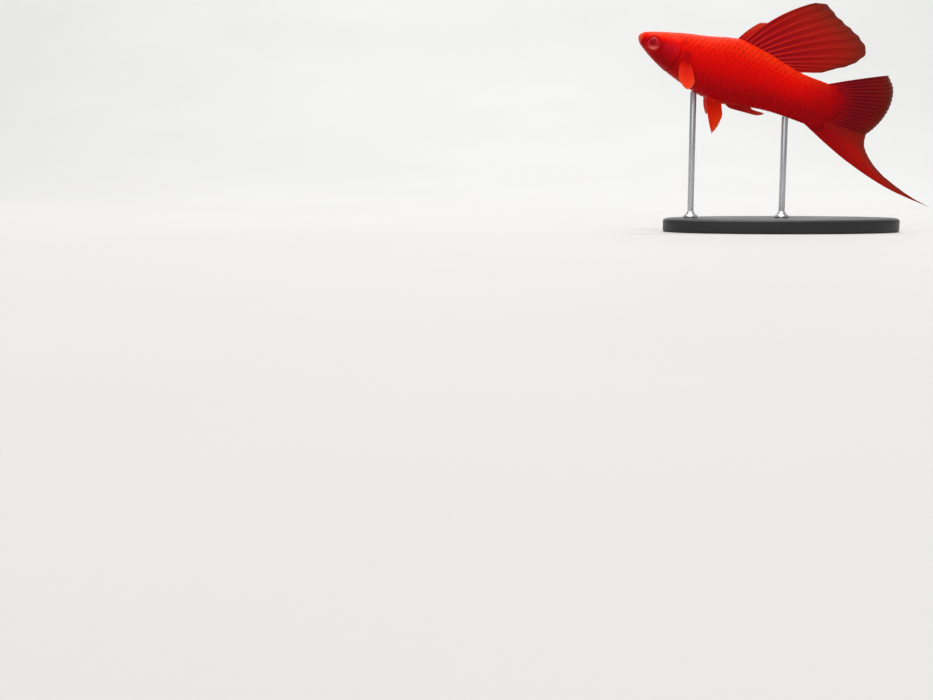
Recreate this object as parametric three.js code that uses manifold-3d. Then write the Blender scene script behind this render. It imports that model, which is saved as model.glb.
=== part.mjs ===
// A life-size adult male red swordtail, a small live-bearing aquarium fish, swimming nose-up
// on a plain display stand of two thin rods and a flat oval base.
// Millimetres, +Z up, nose towards -X, origin at the middle of the base's underside.
//
// The fish is drawn in a frame of its own: x runs back from the snout along the body axis,
// y to the fish's right and z up. One group then tilts it and lifts it over the base.

import * as THREE from "three";
import { mergeVertices } from "three/addons/utils/BufferGeometryUtils.js";
import Module from "manifold-3d";

const wasm = await Module();
wasm.setup();

// Driving dimensions

const standardLength = 60; // snout to the end of the flesh at the tail
const noseUp = THREE.MathUtils.degToRad(20.5); // tilt of the body axis
const gap = 0.3; // between neighbouring pieces
const shortestEdge = 0.02; // shorter ones are closed up where pieces are joined or cut
const thinnestNeedle = 0.002; // flatter triangles are turned across their longest edge

const percent = standardLength / 100; // fish are measured in percent of the standard length

const mm = (share) => share * percent;

// Smooth curve through a few [along, value] points, flat where the points are flat.
function curve(points) {
  const last = points.length - 1;
  const slope = (i) => (points[i + 1][1] - points[i][1]) / (points[i + 1][0] - points[i][0]);
  const tangent = points.map((_, i) => {
    if (i === 0) return slope(0);
    if (i === last) return slope(last - 1);
    const before = slope(i - 1);
    const after = slope(i);
    return before * after <= 0 ? 0 : (2 * before * after) / (before + after);
  });
  return (x) => {
    let i = 0;
    while (i < last - 1 && x > points[i + 1][0]) i++;
    const width = points[i + 1][0] - points[i][0];
    const t = THREE.MathUtils.clamp((x - points[i][0]) / width, 0, 1);
    const rise = t * t * (3 - 2 * t);
    return (
      points[i][1] * (1 - rise) +
      points[i + 1][1] * rise +
      width * t * (1 - t) * (tangent[i] * (1 - t) - tangent[i + 1] * t)
    );
  };
}

const percentCurve = (points) => curve(points.map(([along, value]) => [mm(along), mm(value)]));
const smooth = THREE.MathUtils.smoothstep;
const bell = (x, width) => Math.exp(-(x * x) / (width * width));

// Body form: lines of the back, belly and sides, in percent of the standard length

const bodyEnd = mm(101.3);
const backLine = percentCurve([
  [0, 2.2], [4.3, 3.9], [8.7, 5.5], [17.7, 8.5], [31.5, 12], [40.7, 14.8],
  [44.7, 15.6], [50.8, 15.1], [61.5, 13.8], [72.8, 11.8], [83.2, 11.2], [101.3, 11.2],
]);
const bellyLine = percentCurve([
  [0, -1.8], [4, -4.3], [8.8, -7], [18, -10.8], [24.8, -12.7], [32.2, -14.5], [39.3, -15.5],
  [48.3, -15.3], [55, -14], [61.7, -12.4], [68.8, -11.2], [77, -10.6], [101.3, -10.3],
]);
const sideLine = percentCurve([
  [0, 2.9], [3.3, 3.9], [7.5, 4.9], [13.3, 6.3], [20, 7.3], [28.3, 7.9], [36.7, 8.1],
  [46.7, 7.7], [56.7, 6.7], [66.7, 5.5], [76.7, 4.4], [86.7, 3.35], [95, 2.5], [101.3, 1.9],
]);
const widestLevel = percentCurve([[0, 0.4], [8, -0.2], [22, -1.8], [40, -1.2], [70, 0], [101.3, 0.3]]);
const backFullness = curve([[0, 2.5], [mm(12), 2.7], [mm(30), 2.15], [mm(60), 1.9], [bodyEnd, 1.8]]);
const bellyFullness = curve([[0, 2.2], [mm(12), 1.9], [mm(35), 2.2], [mm(60), 2], [bodyEnd, 1.8]]);

const noseRadius = 1.4;
const tailRoundStart = mm(91);
const tailRoundPower = 2.6;

// 1 along the body, falling to 0 in a round at the snout and at the end of the tail stalk.
function endRounding(x) {
  const nose = 1 - Math.min(x / noseRadius, 1);
  const tail = Math.max(x - tailRoundStart, 0) / (bodyEnd - tailRoundStart);
  return (
    Math.sqrt(Math.max(1 - nose * nose, 0)) *
    Math.max(1 - tail ** tailRoundPower, 0) ** (1 / tailRoundPower)
  );
}

// The tail and its fins swing a little to the left of the body axis.
const swingStart = 25;
const swingRate = 0.00045;
const swing = (x) => -swingRate * Math.max(x - swingStart, 0) ** 2;

// Head features

const eyeRadius = 2.06;
const eyeDepth = 1.2; // half the thickness of the eyeball, across the head
const eyeCentre = new THREE.Vector3(4.5, 2.05, -0.7);
const gillArc = { x: 4.15, z: -1.3, radius: 8.1 }; // circle whose rear is the gill cover's edge
const gillLift = 0.3;
const mouthTip = new THREE.Vector2(-0.5, 0.95);
const mouthCorner = new THREE.Vector2(1.15, 0.1);
const mouthOpening = 0.26;
const lipLift = 0.16;

const mouthSlope = (mouthCorner.y - mouthTip.y) / (mouthCorner.x - mouthTip.x);
const mouthLine = (x) => mouthTip.y + (x - mouthTip.x) * mouthSlope;

// How far the head's skin stands out: lips, the rim round each eye, and the gill cover.
function headRelief(x, z) {
  const fromMouth = Math.abs(z - mouthLine(x));
  const beforeCorner = 1 - smooth(x, mouthCorner.x - 0.5, mouthCorner.x + 0.4);
  const lips = lipLift * bell(fromMouth - 0.42, 0.3) * beforeCorner;
  const fromEye = Math.hypot(x - eyeCentre.x, z - eyeCentre.z);
  const eyeRim = 0.16 * bell(fromEye - eyeRadius - 0.5, 0.5);
  const fromGillArc = Math.hypot(x - gillArc.x, z - gillArc.z) / gillArc.radius;
  const belowCrown = 1 - smooth(z, 1.5, 4.5);
  const gillCover = gillLift * smooth(fromGillArc, 0.45, 0.95) * smooth(x, 6, 9) * belowCrown;
  const cheekGroove = 0.1 * bell(fromGillArc - 0.56, 0.06) * smooth(x, 6.5, 8) * (1 - smooth(z, 0, 2));
  return lips + eyeRim + gillCover - cheekGroove;
}

const signedPower = (value, power) => Math.sign(value) * Math.abs(value) ** power;

// A point of the skin at x behind the snout, and at an angle round the body from its right side.
function plainSkin(x, angle) {
  const rounding = endRounding(x);
  const level = widestLevel(x) * rounding;
  const up = Math.sin(angle) >= 0;
  const fullness = up ? backFullness(x) : bellyFullness(x);
  const reach = up ? backLine(x) * rounding - level : level - bellyLine(x) * rounding;
  return new THREE.Vector3(
    x,
    sideLine(x) * rounding * signedPower(Math.cos(angle), 2 / fullness) + swing(x),
    level + reach * signedPower(Math.sin(angle), 2 / fullness),
  );
}

function skinNormal(x, angle) {
  const step = 0.02;
  const inside = THREE.MathUtils.clamp(x, 2 * step, bodyEnd - 2 * step);
  const along = plainSkin(inside + step, angle).sub(plainSkin(inside - step, angle));
  const round = plainSkin(inside, angle + step).sub(plainSkin(inside, angle - step));
  return along.cross(round).normalize().negate();
}

function reliefSkin(x, angle) {
  const point = plainSkin(x, angle);
  return point.addScaledVector(skinNormal(x, angle), headRelief(x, point.z));
}

// Solids from points

function geometryOf(points, triangles) {
  const geometry = new THREE.BufferGeometry().setFromPoints(points);
  geometry.setIndex(triangles);
  return geometry;
}

// Closed surface over rings of equal count, with one end point before the first and one after the last.
function loftGeometry(rings, firstPoint, lastPoint) {
  const count = rings[0].length;
  const points = [...rings.flat(), firstPoint, lastPoint];
  const first = points.length - 2;
  const last = points.length - 1;
  const triangles = [];
  for (let i = 0; i < count; i++) {
    const next = (i + 1) % count;
    triangles.push(first, next, i);
    triangles.push(last, (rings.length - 1) * count + i, (rings.length - 1) * count + next);
    for (let r = 0; r < rings.length - 1; r++) {
      const a = r * count + i;
      const b = r * count + next;
      triangles.push(a, b, b + count, a, b + count, a + count);
    }
  }
  return geometryOf(points, triangles);
}

function solidOf(geometry) {
  const bare = geometry.clone();
  bare.deleteAttribute("normal");
  bare.deleteAttribute("uv");
  const merged = mergeVertices(bare, 1e-4);
  const mesh = new wasm.Mesh({
    numProp: 3,
    vertProperties: merged.attributes.position.array,
    triVerts: new Uint32Array(merged.index.array),
  });
  const solid = new wasm.Manifold(mesh);
  if (solid.volume() > 0) return solid;
  mesh.triVerts = mesh.triVerts.reverse();
  return new wasm.Manifold(mesh);
}

const largestPiece = (solid) =>
  solid.decompose().reduce((most, piece) => (piece.volume() > most.volume() ? piece : most));

// Closes up very short edges: both ends of one move to the same place.
function closeShortEdges(points, triangles) {
  const home = points.map((_, i) => i);
  const homeOf = (i) => (home[i] === i ? i : homeOf(home[i]));
  for (const triangle of triangles) {
    for (let k = 0; k < 3; k++) {
      const a = homeOf(triangle[k]);
      const b = homeOf(triangle[(k + 1) % 3]);
      if (a === b || points[a].distanceTo(points[b]) >= shortestEdge) continue;
      home[Math.max(a, b)] = Math.min(a, b);
    }
  }
  return triangles
    .map((triangle) => triangle.map(homeOf))
    .filter(([a, b, c]) => a !== b && b !== c && c !== a);
}

// Turns a needle-like triangle and its neighbour across their shared longest edge, in place.
function turnNeedles(points, triangles) {
  const owner = new Map();
  const key = (a, b) => `${a} ${b}`;
  const edgesOf = (index) => triangles[index].map((a, k, corners) => key(a, corners[(k + 1) % 3]));
  const record = (index) => edgesOf(index).forEach((edge) => owner.set(edge, index));
  const forget = (index) => edgesOf(index).forEach((edge) => owner.delete(edge));
  triangles.forEach((_, index) => record(index));
  triangles.forEach((triangle, index) => {
    const lengths = triangle.map((a, k) => points[a].distanceTo(points[triangle[(k + 1) % 3]]));
    const longest = lengths.indexOf(Math.max(...lengths));
    const [a, b, c] = [0, 1, 2].map((k) => triangle[(longest + k) % 3]);
    const area = new THREE.Triangle(points[a], points[b], points[c]).getArea();
    if ((2 * area) / lengths[longest] > thinnestNeedle) return;
    const neighbour = owner.get(key(b, a));
    const d = triangles[neighbour].find((corner) => corner !== a && corner !== b);
    if (owner.has(key(c, d)) || owner.has(key(d, c))) return;
    forget(index);
    forget(neighbour);
    triangles[index] = [a, d, c];
    triangles[neighbour] = [d, b, c];
    record(index);
    record(neighbour);
  });
}

function geometryOfSolid(solid) {
  const { vertProperties, triVerts, numProp, numVert } = largestPiece(solid).getMesh();
  const points = Array.from({ length: numVert }, (_, i) =>
    new THREE.Vector3().fromArray(vertProperties, i * numProp));
  const all = Array.from({ length: triVerts.length / 3 }, (_, i) =>
    Array.from(triVerts.subarray(3 * i, 3 * i + 3)));
  const triangles = closeShortEdges(points, all);
  turnNeedles(points, triangles);
  return geometryOf(points, triangles.flat()).toNonIndexed();
}

const shifted = (geometry, x, y, z) => solidOf(geometry.clone().translate(x, y, z));

// Prism of an outline in the x-z plane, through the body from side to side.
function prism(outline, halfDepth = 10) {
  const shape = new THREE.Shape(outline);
  const geometry = new THREE.ExtrudeGeometry(shape, { depth: 2 * halfDepth, bevelEnabled: false });
  return geometry.rotateX(Math.PI / 2).translate(0, halfDepth, 0);
}

// Body

const roundCount = 34;

function bodyGeometry(skin) {
  const noseStations = 9;
  const noseEnd = 2.2;
  const stations = [];
  for (let i = 1; i <= noseStations; i++) {
    stations.push(noseEnd * (1 - Math.cos((i / noseStations) * (Math.PI / 2))));
  }
  for (let x = noseEnd + 0.7; x < 14.5; x += 0.75) stations.push(x);
  for (let x = 15; x < tailRoundStart - 1; x += 2.2) stations.push(x);
  const tailStations = 7;
  for (let i = 0; i < tailStations; i++) {
    stations.push(tailRoundStart + (bodyEnd - tailRoundStart) * Math.sin((i / tailStations) * (Math.PI / 2)));
  }
  const rings = stations.map((x) =>
    Array.from({ length: roundCount }, (_, i) => skin(x, ((i + 0.5) / roundCount) * 2 * Math.PI)),
  );
  return loftGeometry(rings, skin(0, 0), skin(bodyEnd, 0));
}

const plainBody = bodyGeometry(plainSkin);
const reliefBody = bodyGeometry(reliefSkin);

// Everything in front of the gill cover's rear edge, or of a line a little behind it.
function aheadOfGillEdge(behind) {
  const rear = Array.from({ length: 19 }, (_, i) => {
    const angle = THREE.MathUtils.degToRad(-75 + i * 7.5);
    const radius = gillArc.radius + behind;
    return new THREE.Vector2(gillArc.x + radius * Math.cos(angle), gillArc.z + radius * Math.sin(angle));
  });
  return prism([
    new THREE.Vector2(-5, -15), new THREE.Vector2(rear[0].x, -15), ...rear,
    new THREE.Vector2(rear.at(-1).x, 15), new THREE.Vector2(-5, 15),
  ]);
}

const stalkStart = 44.4;
const behindStalkStart = (behind) => {
  const start = stalkStart + behind;
  return prism([
    new THREE.Vector2(start, -15), new THREE.Vector2(80, -15),
    new THREE.Vector2(80, 15), new THREE.Vector2(start, 15),
  ]);
};

function eyeGeometry(side, grow) {
  return new THREE.SphereGeometry(1, 22, 12)
    .rotateX(Math.PI / 2)
    .scale(eyeRadius + grow, eyeDepth + grow, eyeRadius + grow)
    .translate(eyeCentre.x, side * eyeCentre.y, eyeCentre.z);
}

function mouthGeometry() {
  const half = mouthOpening / 2;
  return prism([
    new THREE.Vector2(mouthTip.x, mouthTip.y - half * 1.6),
    new THREE.Vector2(mouthCorner.x - 0.3, mouthLine(mouthCorner.x - 0.3) - half),
    mouthCorner,
    new THREE.Vector2(mouthCorner.x - 0.3, mouthLine(mouthCorner.x - 0.3) + half),
    new THREE.Vector2(mouthTip.x, mouthTip.y + half * 1.6),
  ]);
}

const nostril = { x: 1.3, angle: THREE.MathUtils.degToRad(58), radius: 0.24 };

function nostrilGeometry(side) {
  const point = reliefSkin(nostril.x, side > 0 ? nostril.angle : Math.PI - nostril.angle);
  return new THREE.SphereGeometry(nostril.radius, 10, 6).translate(point.x, point.y, point.z);
}

function headSolid() {
  let head = solidOf(reliefBody).intersect(solidOf(aheadOfGillEdge(0)));
  for (const side of [-1, 1]) {
    head = head.subtract(solidOf(eyeGeometry(side, gap)));
    head = head.subtract(solidOf(nostrilGeometry(side)));
  }
  return head.subtract(solidOf(mouthGeometry()));
}

const trunkSolid = () =>
  solidOf(plainBody).subtract(solidOf(aheadOfGillEdge(gap))).subtract(solidOf(behindStalkStart(0)));

const stalkSolid = () => solidOf(plainBody).intersect(solidOf(behindStalkStart(gap)));

// Fins: a membrane that carries tapering rays as ridges on both of its faces

const membrane = 0.5;

// Rays are functions from 0 at the root to 1 at the tip, in order across the fin.
// Each ray is a ridge, with the membrane between it and the next ending a little short of the tips.
function finGeometry({ rays, ridge = 0.3, rayWidth = 0.5, rows = 9, rimThickness = 0.25, notch = 0.012 }) {
  const normalAt = (i, t) => {
    const along = rays[i](Math.min(t + 0.02, 1)).sub(rays[i](Math.min(t + 0.02, 1) - 0.02));
    const other = i < rays.length - 1 ? rays[i + 1](t).sub(rays[i](t)) : rays[i](t).sub(rays[i - 1](t));
    return along.cross(other).normalize();
  };
  const columns = [];
  const addColumn = (place, raised, i, end) => columns.push({ place, raised, i, end });
  rays.forEach((ray, i) => {
    addColumn((t) => ray(t), 1, i, 1);
    if (i === rays.length - 1) return;
    const next = rays[i + 1];
    const share = (t) => Math.min((rayWidth * (1 - 0.6 * t)) / 2 / next(t).distanceTo(ray(t)), 0.4);
    addColumn((t) => ray(t).lerp(next(t), share(t)), 0, i, 1 - notch);
    addColumn((t) => ray(t).lerp(next(t), 1 - share(t)), 0, i, 1 - notch);
  });
  const points = [];
  for (const side of [1, -1]) {
    for (const { place, raised, i, end } of columns) {
      for (let r = 0; r <= rows; r++) {
        const t = (r / rows) * end;
        const taper = smooth(t, 0.55, 1);
        const inner = membrane + raised * ridge * (1 - 0.75 * t);
        const thickness = inner * (1 - taper) + rimThickness * taper;
        points.push(place(t).addScaledVector(normalAt(i, t), (side * thickness) / 2));
      }
    }
  }
  const across = columns.length;
  const rowCount = rows + 1;
  const index = (side, c, r) => side * across * rowCount + c * rowCount + r;
  const triangles = [];
  const quad = (a, b, c, d) => triangles.push(a, b, c, a, c, d);
  for (let c = 0; c < across - 1; c++) {
    for (let r = 0; r < rows; r++) {
      quad(index(0, c, r), index(0, c + 1, r), index(0, c + 1, r + 1), index(0, c, r + 1));
      triangles.push(index(1, c, r), index(1, c + 1, r + 1), index(1, c + 1, r));
      triangles.push(index(1, c, r), index(1, c, r + 1), index(1, c + 1, r + 1));
    }
    quad(index(0, c, 0), index(1, c, 0), index(1, c + 1, 0), index(0, c + 1, 0));
    quad(index(0, c, rows), index(0, c + 1, rows), index(1, c + 1, rows), index(1, c, rows));
  }
  const end = across - 1;
  for (let r = 0; r < rows; r++) {
    quad(index(0, 0, r), index(0, 0, r + 1), index(1, 0, r + 1), index(1, 0, r));
    quad(index(0, end, r), index(1, end, r), index(1, end, r + 1), index(0, end, r + 1));
  }
  return geometryOf(points, triangles);
}

// A smooth open line through a few [x, z] points, read by the share of its length.
function line(points) {
  const spline = new THREE.CatmullRomCurve3(
    points.map(([x, z]) => new THREE.Vector3(x, 0, z)), false, "centripetal");
  return (share) => spline.getPointAt(THREE.MathUtils.clamp(share, 0, 1));
}

// A ray from its root to its tip, bowed sideways from the straight line by a share of its length.
function bowedRay(root, tip, bow) {
  const middle = root.clone().lerp(tip, 0.5);
  const along = tip.clone().sub(root);
  middle.add(new THREE.Vector3(-along.z, 0, along.x).multiplyScalar(bow));
  return new THREE.QuadraticBezierCurve3(root, middle, tip);
}

const wavyRay = (bezier, wave) => (t) => {
  const point = bezier.getPoint(t);
  point.y += swing(point.x) + wave(t);
  return point;
};

// Dorsal fin: a short first ray that stands alone, then a tall fan that sweeps back over the stalk

const dorsal = {
  rootFront: 27.3,
  rootRear: 43.2,
  rootSink: 1.6,
  rayCount: 12,
  margin: line([
    [43.6, 26.2], [46.9, 26.9], [50.4, 25.1], [54, 23.6], [57.4, 22.2], [60.4, 20.4], [62.1, 18.3],
    [61.2, 15.7], [58.8, 13.1], [55.6, 11], [52.6, 8.9], [49.6, 8.1],
  ]),
  firstTip: new THREE.Vector3(31.2, 0, 15.8),
};

const dorsalRoot = (share) => {
  const x = THREE.MathUtils.lerp(dorsal.rootFront, dorsal.rootRear, share);
  return new THREE.Vector3(x, 0, backLine(x) - dorsal.rootSink);
};

function dorsalRays() {
  const wave = (share) => (t) => 0.55 * t * t * Math.sin(2.4 * Math.PI * share + 0.6);
  const rays = [wavyRay(bowedRay(dorsalRoot(-0.07), dorsal.firstTip, 0.1), wave(0))];
  for (let i = 0; i < dorsal.rayCount; i++) {
    const share = i / (dorsal.rayCount - 1);
    const root = dorsalRoot(0.05 + 0.95 * share ** 1.05);
    rays.push(wavyRay(bowedRay(root, dorsal.margin(share), 0.14 - 0.19 * share), wave(share)));
  }
  return rays;
}

// The first ray and the fan are made apart, so that the notch between their tips stays, and fused.
function dorsalSolid() {
  const [first, second, ...rest] = dorsalRays();
  const mate = (t) => second(t * 0.42).lerp(rest[0](t * 0.42), 0.35);
  const lobe = solidOf(finGeometry({ rays: [first, mate], notch: 0 }));
  const fan = solidOf(finGeometry({ rays: [second, ...rest] }));
  return lobe.add(fan).subtract(shifted(plainBody, 0, 0, gap));
}

// Tail fin: a fan of rays above, and the lower rays drawn out into the sword

const tailFan = {
  rayCount: 15,
  root: line([[54.2, 5.6], [56.6, 4.6], [58.2, 2.6], [58.7, 0], [58.3, -2.2], [57.6, -3.2]]),
  margin: line([
    [70.6, 14.7], [72.9, 12.2], [74, 8.8], [74.2, 5.2], [73.5, 2], [72.3, -0.6], [70.9, -2.95],
  ]),
};

function tailFanRays() {
  return Array.from({ length: tailFan.rayCount }, (_, i) => {
    const share = i / (tailFan.rayCount - 1);
    const wave = (t) => 0.35 * t * t * Math.cos(3 * Math.PI * share);
    return wavyRay(bowedRay(tailFan.root(share), tailFan.margin(share), 0.02 * (1 - 2 * share)), wave);
  });
}

const sword = {
  rayCount: 6,
  root: line([[57.5, -3.6], [56.4, -4.7], [53.2, -5.9]]),
  upperEdge: line([
    [70.9, -3.25], [71.7, -6.1], [74.6, -8.9], [78.8, -11.4], [82.9, -12.9], [90.1, -14.8], [95.9, -15.6],
  ]),
  lowerEdge: line([
    [53.2, -5.9], [56.6, -7.3], [61.9, -9.4], [69.6, -12], [82.2, -14.9], [95.9, -15.9],
  ]),
};

// Each ray runs beside the lower edge and leaves it by an even, growing or shrinking, distance.
function swordRays() {
  const start = sword.lowerEdge(0);
  const reach = sword.lowerEdge(1).x - start.x;
  return Array.from({ length: sword.rayCount }, (_, i) => {
    const share = i / (sword.rayCount - 1);
    const tip = sword.upperEdge(share ** 0.8);
    const abreast = (tip.x - start.x) / reach;
    const rootOffset = sword.root(share).sub(start);
    const tipOffset = tip.sub(sword.lowerEdge(abreast));
    const place = (t) => sword.lowerEdge(t * abreast)
      .addScaledVector(rootOffset, 1 - t)
      .addScaledVector(tipOffset, t);
    return wavyRay({ getPoint: place }, () => 0);
  });
}

const tailFanSolid = () =>
  solidOf(finGeometry({ rays: tailFanRays(), rows: 8 })).subtract(shifted(plainBody, gap, 0, 0));

const swordSolid = () =>
  solidOf(finGeometry({ rays: swordRays(), rows: 14, notch: 0 }))
    .subtract(shifted(plainBody, gap, 0, 0))
    .subtract(shifted(plainBody, 0, 0, -gap));

// Pectoral fins: small fans on the flanks behind the gill covers, each in a pose of its own

const pectoral = { rayCount: 7, rootHalf: 1.5, length: 8.9 };

function pectoralRays(place) {
  const forward = place.direction.clone().normalize();
  const across = place.across.clone().addScaledVector(forward, -place.across.dot(forward)).normalize();
  const normal = forward.clone().cross(across);
  return Array.from({ length: pectoral.rayCount }, (_, i) => {
    const share = (2 * i) / (pectoral.rayCount - 1) - 1;
    const angle = share * place.spread;
    const reach = pectoral.length * (1 - 0.34 * Math.abs(share - 0.1) ** 1.6);
    return (t) => {
      const out = t * reach;
      return place.root.clone()
        .addScaledVector(across, share * pectoral.rootHalf + out * Math.sin(angle))
        .addScaledVector(forward, out * Math.cos(angle))
        .addScaledVector(normal, place.cup * t * t * (1 - share * share * 0.6));
    };
  });
}

const pectoralPlaces = {
  left: {
    side: -1,
    root: new THREE.Vector3(14.65, -4, -2.45),
    direction: new THREE.Vector3(0.32, -0.42, -0.9),
    across: new THREE.Vector3(0.97, -0.05, 0.2),
    spread: THREE.MathUtils.degToRad(12),
    cup: 0.5,
  },
  right: {
    side: 1,
    root: new THREE.Vector3(14, 3.6, -2.8),
    direction: new THREE.Vector3(0.9, 0.42, 0.02),
    across: new THREE.Vector3(0.12, 0.3, 0.95),
    spread: THREE.MathUtils.degToRad(24),
    cup: -0.8,
  },
};

const pectoralSolid = (place) =>
  solidOf(finGeometry({ rays: pectoralRays(place), rows: 7, rayWidth: 0.4 }))
    .subtract(shifted(plainBody, 0, place.side * gap, 0))
    .subtract(shifted(reliefBody, 0, place.side * gap, 0));

// Pelvic fins: pointed, hanging from the belly, each leaning outwards

const pelvic = {
  rayCount: 6,
  root: line([[24.3, -8.2], [28.2, -8]]),
  tips: line([[29.3, -18.3], [30, -16.4], [30.3, -14.4], [30.3, -12.3], [29.5, -10.6]]),
  besideMiddle: 1,
};

// The fin is drawn hanging straight down, then splayed outwards about its root and carried forward.
function pelvicRays({ side, splay, ahead, forward }) {
  return Array.from({ length: pelvic.rayCount }, (_, i) => {
    const share = i / (pelvic.rayCount - 1);
    const root = pelvic.root(share);
    const bezier = bowedRay(root, pelvic.tips(share), 0.13 * share - 0.08);
    return (t) => {
      const point = bezier.getPoint(t);
      const drop = root.z - point.z;
      return new THREE.Vector3(
        point.x - ahead - forward * t,
        side * (pelvic.besideMiddle + drop * Math.sin(splay)) + swing(point.x),
        root.z - drop * Math.cos(splay),
      );
    };
  });
}

const pelvicPoses = {
  left: { side: -1, splay: THREE.MathUtils.degToRad(8), ahead: 0.2, forward: -0.2 },
  right: { side: 1, splay: THREE.MathUtils.degToRad(66), ahead: 0.6, forward: 1 },
};

const pelvicSolid = (pose) =>
  solidOf(finGeometry({ rays: pelvicRays(pose), rows: 7, rayWidth: 0.4 }))
    .subtract(shifted(plainBody, 0, 0, -gap));

// Gonopodium: the male's anal fin, a slender rod that lies back along the belly

const gonopodium = {
  start: 29.8,
  end: 41.6,
  top: curve([[29.8, -8.3], [31, -7.8], [36, -6.9], [38.2, -7.6], [41.6, -7.35]]),
  bottom: curve([[29.8, -8.8], [31.6, -9.5], [36.4, -9.1], [39.6, -8.75], [41.6, -7.75]]),
  halfWidth: curve([[29.8, 0.5], [34, 0.5], [41.6, 0.3]]),
};

function gonopodiumSolid() {
  const { start, end, top, bottom, halfWidth } = gonopodium;
  const middle = (x) => new THREE.Vector3(x, swing(x), (top(x) + bottom(x)) / 2);
  const stations = 13;
  const rings = Array.from({ length: stations }, (_, r) => {
    const x = THREE.MathUtils.lerp(start + 0.2, end - 0.12, r / (stations - 1));
    return Array.from({ length: 12 }, (_, i) => {
      const angle = (i / 12) * 2 * Math.PI;
      const height = ((top(x) - bottom(x)) / 2) * Math.sin(angle);
      return middle(x).add(new THREE.Vector3(0, halfWidth(x) * Math.cos(angle), height));
    });
  });
  return solidOf(loftGeometry(rings, middle(start), middle(end))).subtract(shifted(plainBody, 0, 0, -gap));
}

// One named mesh for each sub-part

const finish = (color, roughness, metalness = 0) =>
  new THREE.MeshStandardMaterial({ color, roughness, metalness, flatShading: true });

const skinFinish = finish(0xd8160c, 0.4);
const finFinish = finish(0xa8150f, 0.45);
const pairedFinFinish = finish(0xe03a14, 0.45);
const eyeFinish = finish(0x8e1420, 0.15);
const baseFinish = finish(0x26282b, 0.6);
const rodFinish = finish(0xb9bcc0, 0.3, 1);

function mesh(name, solid, material) {
  const made = new THREE.Mesh(geometryOfSolid(solid), material);
  made.name = name;
  return made;
}

const fish = new THREE.Group();
fish.add(
  mesh("head", headSolid(), skinFinish),
  mesh("trunk", trunkSolid(), skinFinish),
  mesh("tail_stalk", stalkSolid(), skinFinish),
  mesh("eye_left", solidOf(eyeGeometry(-1, 0)), eyeFinish),
  mesh("eye_right", solidOf(eyeGeometry(1, 0)), eyeFinish),
  mesh("dorsal_fin", dorsalSolid(), finFinish),
  mesh("tail_fan", tailFanSolid(), finFinish),
  mesh("tail_sword", swordSolid(), finFinish),
  mesh("pectoral_fin_left", pectoralSolid(pectoralPlaces.left), pairedFinFinish),
  mesh("pectoral_fin_right", pectoralSolid(pectoralPlaces.right), pairedFinFinish),
  mesh("pelvic_fin_left", pelvicSolid(pelvicPoses.left), pairedFinFinish),
  mesh("pelvic_fin_right", pelvicSolid(pelvicPoses.right), pairedFinFinish),
  mesh("gonopodium", gonopodiumSolid(), pairedFinFinish),
);

// The fish is tilted, centred over the origin and lifted until its sword's tip clears the base's level.
const swordTipHeight = 7;
fish.rotation.y = noseUp;
const reach = new THREE.Box3().setFromObject(fish, true);
fish.position.set(-(reach.min.x + reach.max.x) / 2, 0, swordTipHeight - reach.min.z);
fish.updateMatrixWorld(true);

// Stand: an oval base and two rods that meet the belly and the underside of the stalk

const base = { length: 68, width: 34, height: 4, chamfer: 0.8 };
const rodRadius = 0.9;
const rodPlaces = { front: 20.4, rear: 47.5 };

function baseSolid() {
  const chamferShare = (2 * base.chamfer) / base.width;
  const profile = [
    [0, 0], [1, 0], [1, base.height - base.chamfer], [1 - chamferShare, base.height], [0, base.height],
  ].map(([r, z]) => new THREE.Vector2(r, z));
  const turned = new THREE.LatheGeometry(profile, 48).rotateX(Math.PI / 2);
  return solidOf(turned.scale(base.length / 2, base.width / 2, 1));
}

function rodSolid(place) {
  const belly = fish.localToWorld(new THREE.Vector3(place, swing(place), bellyLine(place)));
  const foot = base.height + gap;
  const top = belly.z + 2;
  const rod = new THREE.CylinderGeometry(rodRadius, rodRadius, top - foot, 16)
    .rotateX(Math.PI / 2)
    .translate(belly.x, belly.y, (top + foot) / 2);
  const body = plainBody.clone().applyMatrix4(fish.matrixWorld);
  return solidOf(rod).subtract(shifted(body, 0, 0, -gap));
}

const model = new THREE.Group();
model.add(
  fish,
  mesh("stand_base", baseSolid(), baseFinish),
  mesh("stand_rod_front", rodSolid(rodPlaces.front), rodFinish),
  mesh("stand_rod_rear", rodSolid(rodPlaces.rear), rodFinish),
);

export default model;
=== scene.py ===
# A life-size adult male red swordtail on a plain display stand, dressed over its solids.
# Shapes are worked out in the fish's own frame, in millimetres: x runs back from the snout
# along the body axis, y to the fish's right and z up. Angles round the body start at its right side.

import math
from math import pi, radians

import bpy
import numpy as np
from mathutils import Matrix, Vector


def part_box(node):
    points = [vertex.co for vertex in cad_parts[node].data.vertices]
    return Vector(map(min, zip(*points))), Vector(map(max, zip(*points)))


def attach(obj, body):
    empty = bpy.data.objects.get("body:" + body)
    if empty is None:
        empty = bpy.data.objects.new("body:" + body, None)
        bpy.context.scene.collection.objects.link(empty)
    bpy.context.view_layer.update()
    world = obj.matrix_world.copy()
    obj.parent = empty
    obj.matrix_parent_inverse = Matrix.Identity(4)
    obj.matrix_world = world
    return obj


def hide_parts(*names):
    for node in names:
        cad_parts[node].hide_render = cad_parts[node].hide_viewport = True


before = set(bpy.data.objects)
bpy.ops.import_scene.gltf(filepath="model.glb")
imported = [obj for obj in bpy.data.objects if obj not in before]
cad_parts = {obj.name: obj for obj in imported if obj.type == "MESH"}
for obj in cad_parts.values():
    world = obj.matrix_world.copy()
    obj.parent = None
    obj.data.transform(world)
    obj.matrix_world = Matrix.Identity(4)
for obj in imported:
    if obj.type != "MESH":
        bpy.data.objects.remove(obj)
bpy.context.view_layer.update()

# Driving dimensions

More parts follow.
